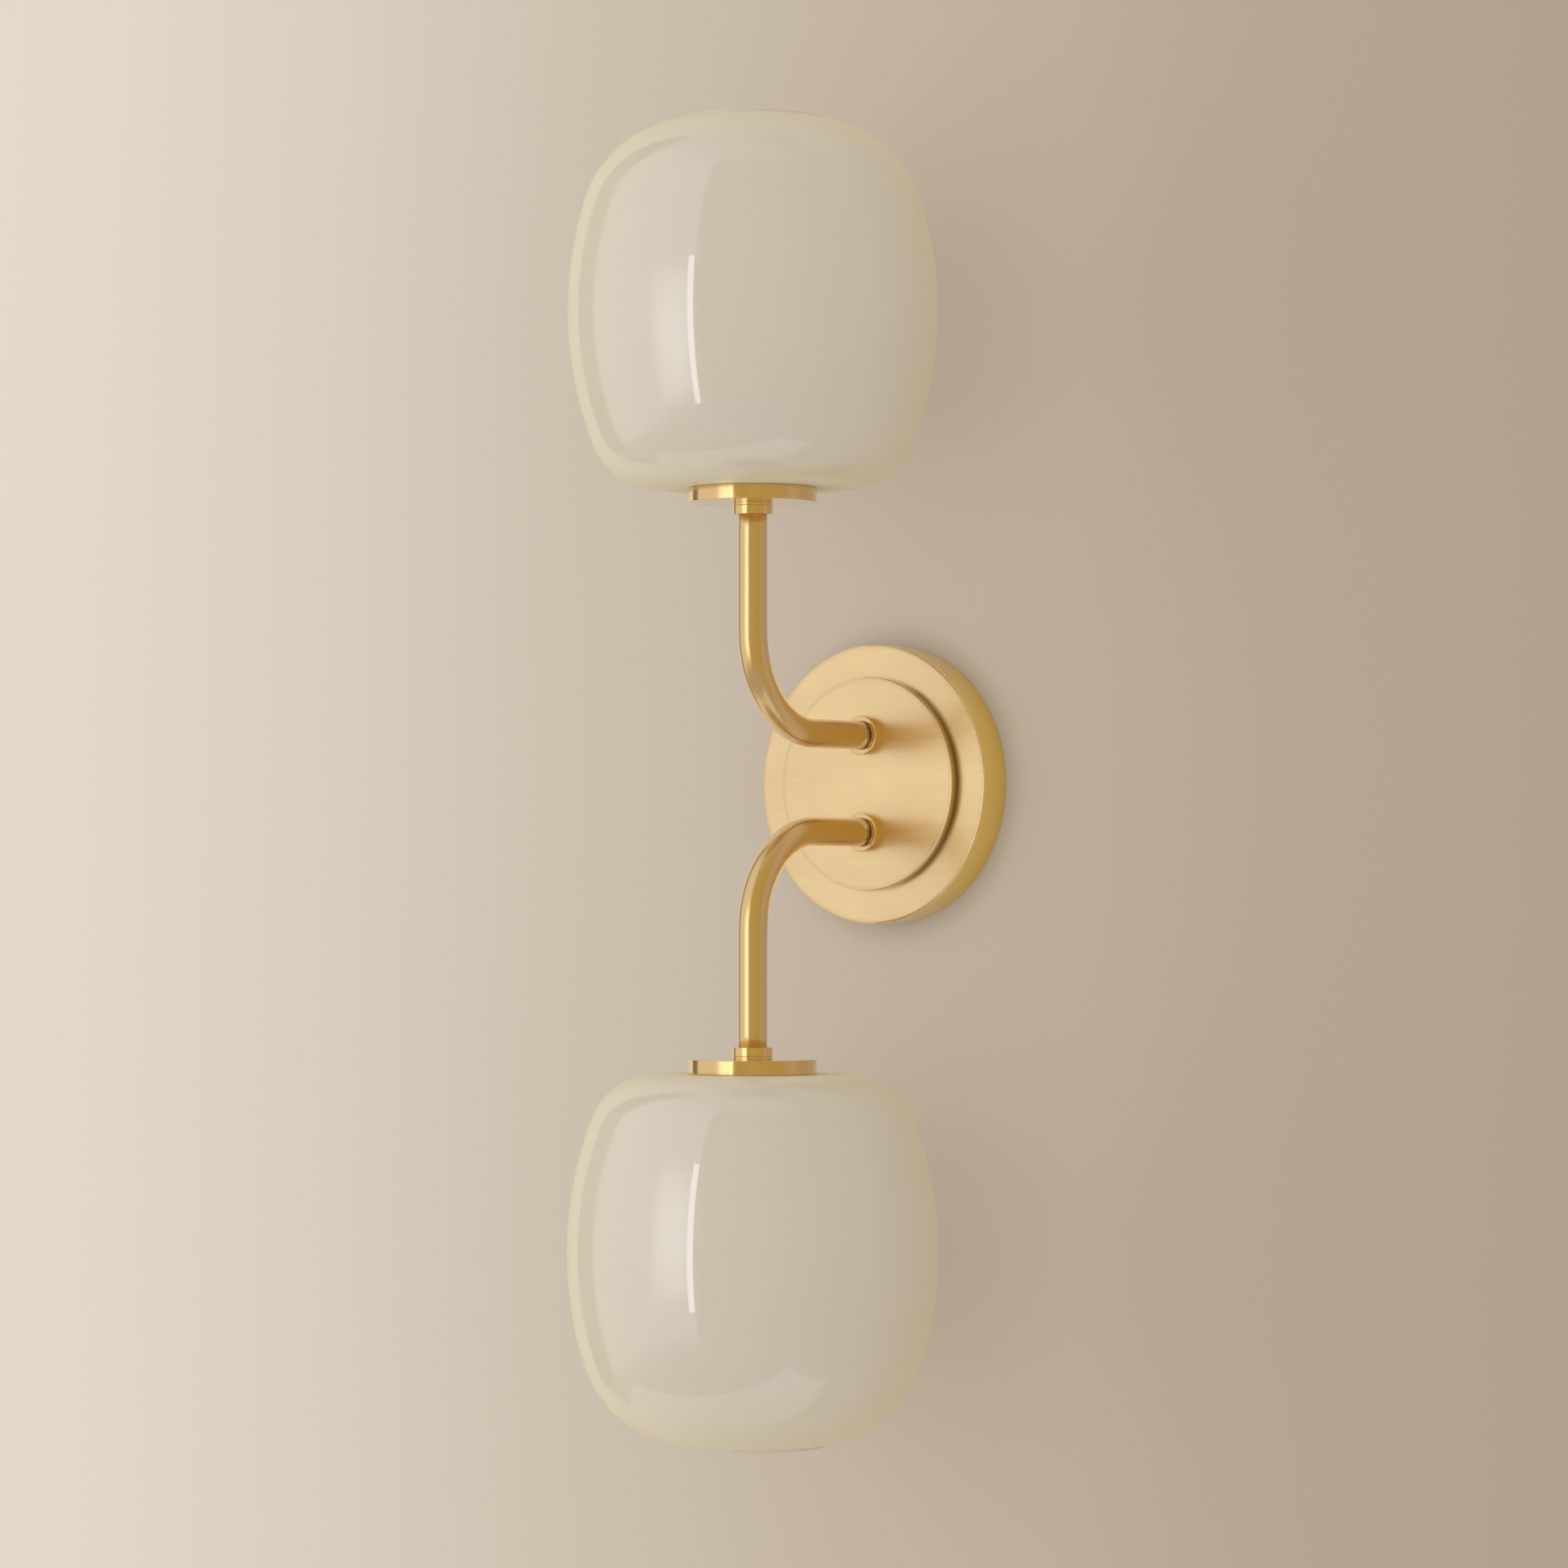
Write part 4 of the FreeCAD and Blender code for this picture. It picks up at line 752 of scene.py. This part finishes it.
# Arm locks: a toothed washer and a chamfered hexagon nut behind the pan's face on each arm's stud.
# They clamp arm, disc and pan together.
def hexagon_nut(name):
    """A nut that lies on the XY plane, cut from hexagon bar and chamfered on both faces."""
    half, height, bore = 0.007, 0.0032, 0.0050
    corner, face, chamfer = half * 2 / math.sqrt(3), half * 0.97, height * 0.22
    piece = turn(name, [(face, 0), (corner, chamfer), (corner, height - chamfer), (face, height),
                        (bore, height), (bore, 0), (face, 0)], 36)
    for side in range(6):
        angle = math.radians(30 + 60 * side)
        flat = Vector((math.cos(angle), math.sin(angle), 0))
        net = bmesh.from_edit_mesh(piece.data)
        for point in net.verts:
            point.co -= flat * max(0, point.co.dot(flat) - half)
        bmesh.update_edit_mesh(piece.data)
    return leave_edit(piece, 25)


lock_washer = turn("upper_lock_washer", [(0.0051, 0), (0.0068, 0), (0.0085, 0), (0.0085, 0.0008),
                                         (0.0068, 0.0008), (0.0051, 0.0008), (0.0051, 0)], 48)
size_ribs(lock_washer, lambda co: co.xy.length > 0.0080, 7.5, 2, 0.84)
leave_edit(lock_washer)
carry(lock_washer, (0, -0.0142, arm_height), (math.pi / 2, 0, 0))
lock_nut = hexagon_nut("upper_lock_nut")
carry(lock_nut, (0, -0.0110, arm_height), (math.pi / 2, 0, 0))
for lock, node in ((lock_washer, "arm_lock_washers"), (lock_nut, "arm_lock_nuts")):
    both = join([lock, twin_of(lock, lock.name.replace("upper", "lower"))], node + "_pair")
    fit(both, zinc, "fixture", "zinc", node)

# Sleeves: short turned brass rings brazed on the arms against the flanges. A fine groove parts the
# sleeve's rim from its body.
sleeve_height = 0.0053
sleeve = turn("upper_sleeve", [(0.0065, 0), (0.0089, 0), (0.0089, sleeve_height - 0.0015),
                               (0.0087, sleeve_height - 0.0013), (0.0089, sleeve_height - 0.0011),
                               (0.0089, sleeve_height), (0.0065, sleeve_height), (0.0065, 0)], 64)
leave_edit(sleeve)
ease_edges(sleeve, 0.00010, 2)
carry(sleeve, (0, -reach, flange_face - sleeve_height))
lamp_brass = brass("lamp_end_turned_brass", turned_round, (0.76, 0.51, 0.205), (0.84, 0.60, 0.27),
                   (0.12, 0.19), 0.000006, centre=(0, -reach, 0))
fit_both(sleeve, lamp_brass, "fixture", "brass", "upper_arm_sleeve")

# Flanges: brass discs turned from bar, with eased edges and a low lip round the soft ring's seat. The
# lamp stud passes through each, and the glass sits on it.
flange_thickness = 0.0055
flange = turn("upper_disc_flange", [(0.0051, 0), (0.0284, 0), (0.0284, 0.00645), (0.0272, 0.00645),
                                    (0.0272, flange_thickness), (0.0051, flange_thickness), (0.0051, 0)], 96)
leave_edit(flange)
ease_edges(flange, 0.00025, 2)
carry(flange, (0, -reach, flange_face))
fit_both(flange, lamp_brass, "fixture", "brass", "upper_flange")

# Soft rings: clear silicone rings, one between flange and glass, and one on the glass under the
# clamping ring.
seat, ring_thickness = flange_face + flange_thickness, 0.0010
silicone = mottled("clear_silicone", [(0.74, 0.72, 0.66), (0.82, 0.80, 0.74)], (0.35, 0.5), 90.0, 0.00004)
for name, height, body, node in (("upper_seat_ring", seat, "fixture", "upper_seat_gasket"),
                                 ("upper_clamp_ring", seat + 0.0042, "upper_washer", "upper_ring_washer")):
    soft = turn(name, [(0.0210, 0), (0.0270, 0), (0.0270, ring_thickness), (0.0210, ring_thickness),
                       (0.0210, 0)], 72)
    leave_edit(soft)
    ease_edges(soft, 0.0003, 3)
    carry(soft, (0, -reach, height))
    fit_both(soft, silicone, body, "seal", node)

# Glass shades: blown in cream opal glass cased in clear, so the surface shines over a soft body
# that lets some light through. The base is flat at the fitter hole, heel, side and shoulder are
# one line, and the far rim is low.
shade_foot, glass_wall = seat + ring_thickness, 0.0032
arcs = [((0.0433, 0.0297), 0.0297, -90.0, -20.93, 12), ((-0.08429, 0.0785), 0.1663, -20.93, 17.14, 18),
        ((0.02656, 0.11268), 0.0503, 17.14, 83.1, 16)]
outline = [(0.0210, 0.0), (0.0320, 0.0), (0.0433, 0.0)]
for (middle_x, middle_z), arc_radius, first, last, steps in arcs:
    for step in range(1, steps + 1):
        angle = math.radians(first + (last - first) * step / steps)
        outline.append((middle_x + arc_radius * math.cos(angle), middle_z + arc_radius * math.sin(angle)))
outline.append((outline[-1][0], 0.1639))
shade = turn("upper_shade_glass", outline, 128)
leave_edit(shade, 60)
finish_with(shade, "SOLIDIFY", thickness=glass_wall, offset=-1, use_even_offset=True)
ease_edges(shade, 0.0006, 3, 50.0)
carry(shade, (0, -reach, shade_foot))

cream_glass, tree, shader = new_material(
    "cream_cased_glass", Subsurface_Weight=0.15, Subsurface_Radius=(1.0, 0.9, 0.7), Subsurface_Scale=0.006,
    Coat_Weight=1.0, Coat_IOR=2.6, Coat_Roughness=0.03, Sheen_Weight=1.0, Sheen_Roughness=0.8,
    Sheen_Tint=(1.0, 0.92, 0.67, 1))
spot = add_node(tree, "ShaderNodeTexCoord").outputs["Object"]
centred = add_node(tree, "ShaderNodeMapping", spot, (0, -reach, 0), vector_type="TEXTURE")
milk = put_group(tree, fine_mottle, Scale=9.0, Vector=centred.outputs[0])["Mottle"]
vary(tree, milk, shader, ((0.700, 0.652, 0.622), (0.733, 0.683, 0.652)), (0.28, 0.34))
emboss(tree, milk, shader, 0.0006, 0.3)
through = add_node(tree, "ShaderNodeBsdfTranslucent", Color=(0.93, 0.88, 0.73, 1))
show_surface(tree, add_node(tree, "ShaderNodeMixShader", 0.3, shader.outputs[0], through.outputs[0]))
fit_both(shade, cream_glass, "upper_shade", "glass", "upper_glass_shade")

# Clamping rings: moulded black rings with a foot and a ribbed hub for the fingers. Each is screwed
# down the socket cap's thread and holds the glass against the flange.
phenolic = mottled("black_phenolic", [(0.016, 0.015, 0.014), (0.034, 0.031, 0.028)], (0.22, 0.36), 140.0,
                   0.00003)
clamp = turn("upper_clamp_nut", [(0.01985, 0), (0.0270, 0), (0.0270, 0.0021), (0.0262, 0.0025),
                                 (0.0225, 0.0025), (0.0225, 0.0074), (0.0219, 0.0080), (0.01985, 0.0080),
                                 (0.01985, 0)], 96)
size_ribs(clamp, lambda co: co.z > 0.0024 and 0.0217 < co.xy.length < 0.0230, 3.75, 2, 0.965)
leave_edit(clamp, 25)
carry(clamp, (0, -reach, seat + 0.0052))
fit_both(clamp, phenolic, "upper_ring", "socket_moulding", "upper_shade_ring")


# Socket caps: moulded phenolic cups on the lamp studs. The thread on the outside takes the clamping
# ring, and the inside holds the nut and the terminals.
def screw_thread(name, profile, pitch, turns):
    """A helical skin round the Z axis: the profile is one pitch of (radius, height) points."""
    piece = start_piece(name, bpy.ops.mesh.primitive_circle_add, vertices=len(profile), radius=0.001)
    net = bmesh.from_edit_mesh(piece.data)
    net.verts.ensure_lookup_table()
    for corner, (radius, height) in zip(net.verts, profile):
        corner.co = (radius, 0, height)
    net.edges.ensure_lookup_table()
    closing = [edge for edge in net.edges
               if {corner.index for corner in edge.verts} == {0, len(profile) - 1}]
    bmesh.ops.delete(net, geom=closing, context="EDGES_FACES")
    bmesh.update_edit_mesh(piece.data)
    bpy.ops.object.mode_set(mode="OBJECT")
    finish_with(piece, "SCREW", axis="Z", screw_offset=pitch, iterations=turns, steps=40, render_steps=40,
                use_merge_vertices=True, merge_threshold=0.000002)
    bpy.ops.object.mode_set(mode="EDIT")
    return leave_edit(piece, 30)


cap = turn("upper_cap_cup", [(0.0051, 0), (0.0190, 0), (0.0198, 0.0008), (0.0198, 0.0020), (0.0193, 0.0024),
                             (0.0193, 0.0136), (0.0198, 0.0140), (0.0198, 0.0150), (0.0173, 0.0150),
                             (0.0173, 0.0025), (0.0051, 0.0025), (0.0051, 0)], 72)
leave_edit(cap, 30)
cap_thread = screw_thread("upper_cap_thread", [
    (0.0192, 0), (0.0198, 0.0006), (0.0198, 0.0010), (0.0192, 0.0016), (0.0192, 0.0020)], 0.0020, 5)
carry(cap_thread, (0, 0, 0.0030))
cap = join([cap, cap_thread], "upper_cap_cup")
carry(cap, (0, -reach, seat))
fit_both(cap, phenolic, "fixture", "socket_moulding", "upper_socket_cap")

# Socket bodies: the moulded upper halves, riveted to the caps. Each is fluted outside, and its deep
# bore holds the screw shell.
socket = turn("upper_socket_barrel", [
    (0.0142, 0.0310), (0.0142, 0.0030), (0.0030, 0.0030), (0.0030, 0.0), (0.0192, 0.0), (0.0198, 0.0006),
    (0.0198, 0.0030), (0.0198, 0.0036), (0.0198, 0.0262), (0.0198, 0.0268), (0.0198, 0.0302),
    (0.0190, 0.0310), (0.0142, 0.0310)], 96)
size_ribs(socket, lambda co: 0.0033 < co.z < 0.0265 and co.xy.length > 0.0195, 3.75, 2, 0.975)
fill_where(socket, lambda co: co.xy.length < 0.0031 and co.z > 0.0029)
fill_where(socket, lambda co: co.xy.length < 0.0031 and co.z < 0.0001)
leave_edit(socket, 25)
carry(socket, (0, -reach, seat + 0.0150))
fit_both(socket, phenolic, "fixture", "socket_moulding", "upper_socket_body")

# Socket contacts: a shell rolled from brass strip with the lamp thread, and a riveted centre contact
# with a rounded crown.
contact_brass = mottled("bright_contact_brass", [(0.76, 0.54, 0.22), (0.86, 0.66, 0.32)], (0.16, 0.28), 240.0,
                        0.00002, Metallic=1.0)
shell = screw_thread("upper_thread_shell", [
    (0.01415, 0), (0.01395, 0.0008), (0.01375, 0.0018), (0.01395, 0.0028), (0.01415, 0.0036)], 0.0036, 7)
finish_with(shell, "SOLIDIFY", thickness=0.0001, offset=0)
lip = leave_edit(turn("upper_shell_lip", [
    (0.0120, 0), (0.0140, 0), (0.0142, 0.0003), (0.0142, 0.0010), (0.0138, 0.0010), (0.0136, 0.0005),
    (0.0120, 0.0005), (0.0120, 0)], 64))
carry(shell, (0, 0, 0.0008))
shell = join([shell, lip], "upper_thread_shell")
carry(shell, (0, -reach, seat + 0.0180))
crown = turn("upper_centre_tongue", [(0.0040, 0), (0.0040, 0.0005), (0.0030, 0.0009), (0.0022, 0.0013),
                                     (0.0012, 0.0014), (0, 0.0014)], 32)
fill_where(crown, lambda co: co.z < 1e-6)
leave_edit(crown)
carry(crown, (0, -reach, seat + 0.0180))
for part, node in ((shell, "upper_screw_shell"), (crown, "upper_centre_contact")):
    fit_both(part, contact_brass, "fixture", "contact_brass", node)

# Terminal screws: a slotted brass screw on either side, its head under the socket's floor and its
# shank in the moulding. Each holds a lead's end.
terminal = slotted_screw("upper_left_terminal", (0.0030, 0.0024), 0.0015, 0.0030, 0.0004)
carry(terminal, (-0.012, -reach, seat + 0.0180), (math.pi, 0, 0))
other_terminal = twin_of(terminal, "upper_right_terminal", (0.024, 0, 0), (0, 0, 0))
terminals = join([terminal, other_terminal], "upper_terminal_screws")
fit_both(terminals, contact_brass, "fixture", "contact_brass", "upper_terminals")

# Socket nuts: hexagon nuts on the lamp studs, inside the socket caps. Each holds socket, flange and
# arm together.
socket_nut = hexagon_nut("upper_socket_nut")
carry(socket_nut, (0, -reach, seat + 0.0025))
both = join([socket_nut, twin_of(socket_nut, "lower_socket_nut")], "socket_nut_pair")
fit(both, zinc, "fixture", "zinc", "socket_nuts")

# Bulb insulators: black vitreous glass fused into the cap's foot, with a soldered metal tip at the
# middle that meets the socket's centre contact.
vitrite = mottled("black_vitrite", [(0.010, 0.010, 0.012), (0.026, 0.025, 0.028)], (0.10, 0.20), 180.0,
                  0.00002)
bulb_metal = mottled("rolled_bulb_metal", [(0.66, 0.66, 0.64), (0.80, 0.80, 0.78)], (0.18, 0.32), 200.0,
                     0.00002, Metallic=1.0)
insulator = turn("upper_bulb_button", [(0.0124, 0.0230), (0.0124, 0.0227), (0.0112, 0.0221), (0.0062, 0.0207),
                                       (0.0046, 0.0205)], 48)
bpy.ops.mesh.fill()
fill_where(insulator, lambda co: co.z > 0.0229)
leave_edit(insulator)
tip_solder = turn("upper_bulb_tip", [(0.0045, 0.0207), (0.0045, 0.0201), (0.0036, 0.0198), (0.0016, 0.0197),
                                     (0, 0.0197)], 32)
leave_edit(tip_solder, 60)
carry(insulator, (0, -reach, seat))
carry(tip_solder, (0, -reach, seat))
fit_both(insulator, vitrite, "upper_bulb", "bulb_insulator", "upper_bulb_insulator")
fit_both(tip_solder, bulb_metal, "upper_bulb", "bulb_metal", "upper_bulb_insulator")

# Bulb caps: thin sheet metal rolled with the lamp's rounded thread, closed round the insulator and
# crimped on the glass neck.
bulb_cap = turn("upper_bulb_screw", [(0.0124, 0.0230), (0.0127, 0.0234), (0.0128, 0.0245), (0.0127, 0.0250),
                                     (0.0127, 0.0400), (0.0131, 0.0408), (0.0132, 0.0416), (0.0132, 0.0450),
                                     (0.0129, 0.0458), (0.0126, 0.0460)], 64)
leave_edit(bulb_cap, 30)
rolled = screw_thread("upper_rolled_thread", [
    (0.01265, 0), (0.0130, 0.0008), (0.0132, 0.0018), (0.0130, 0.0028), (0.01265, 0.0036)], 0.0036, 4)
carry(rolled, (0, 0, 0.0245))
bulb_cap = join([bulb_cap, rolled], "upper_bulb_screw")
carry(bulb_cap, (0, -reach, seat))
fit_both(bulb_cap, bulb_metal, "upper_bulb", "bulb_metal", "upper_bulb_cap")

# Bulb glass: a blown oval envelope, white inside, drawn in to a neck that is cemented in the cap. It
# is slim enough to pass the shade's fitter hole.
oval = [(0.0125, 0.0445), (0.0126, 0.0480), (0.0128, 0.0520)]
for degrees in range(-40, 90, 8):
    angle = math.radians(degrees)
    oval.append((0.0175 * math.cos(angle), 0.0760 + 0.0340 * math.sin(angle)))
bulb = turn("upper_bulb_envelope", oval + [(0, 0.1100)], 64)
leave_edit(bulb, 60)
finish_with(bulb, "SUBSURF", levels=1, render_levels=1)
carry(bulb, (0, -reach, seat))
bulb_white = mottled("white_bulb_glass", [(0.78, 0.77, 0.74), (0.84, 0.83, 0.80)], (0.28, 0.40), 60.0,
                     0.00004, Coat_Weight=0.5)
fit_both(bulb, bulb_white, "upper_bulb", "bulb_glass", "upper_bulb_glass")
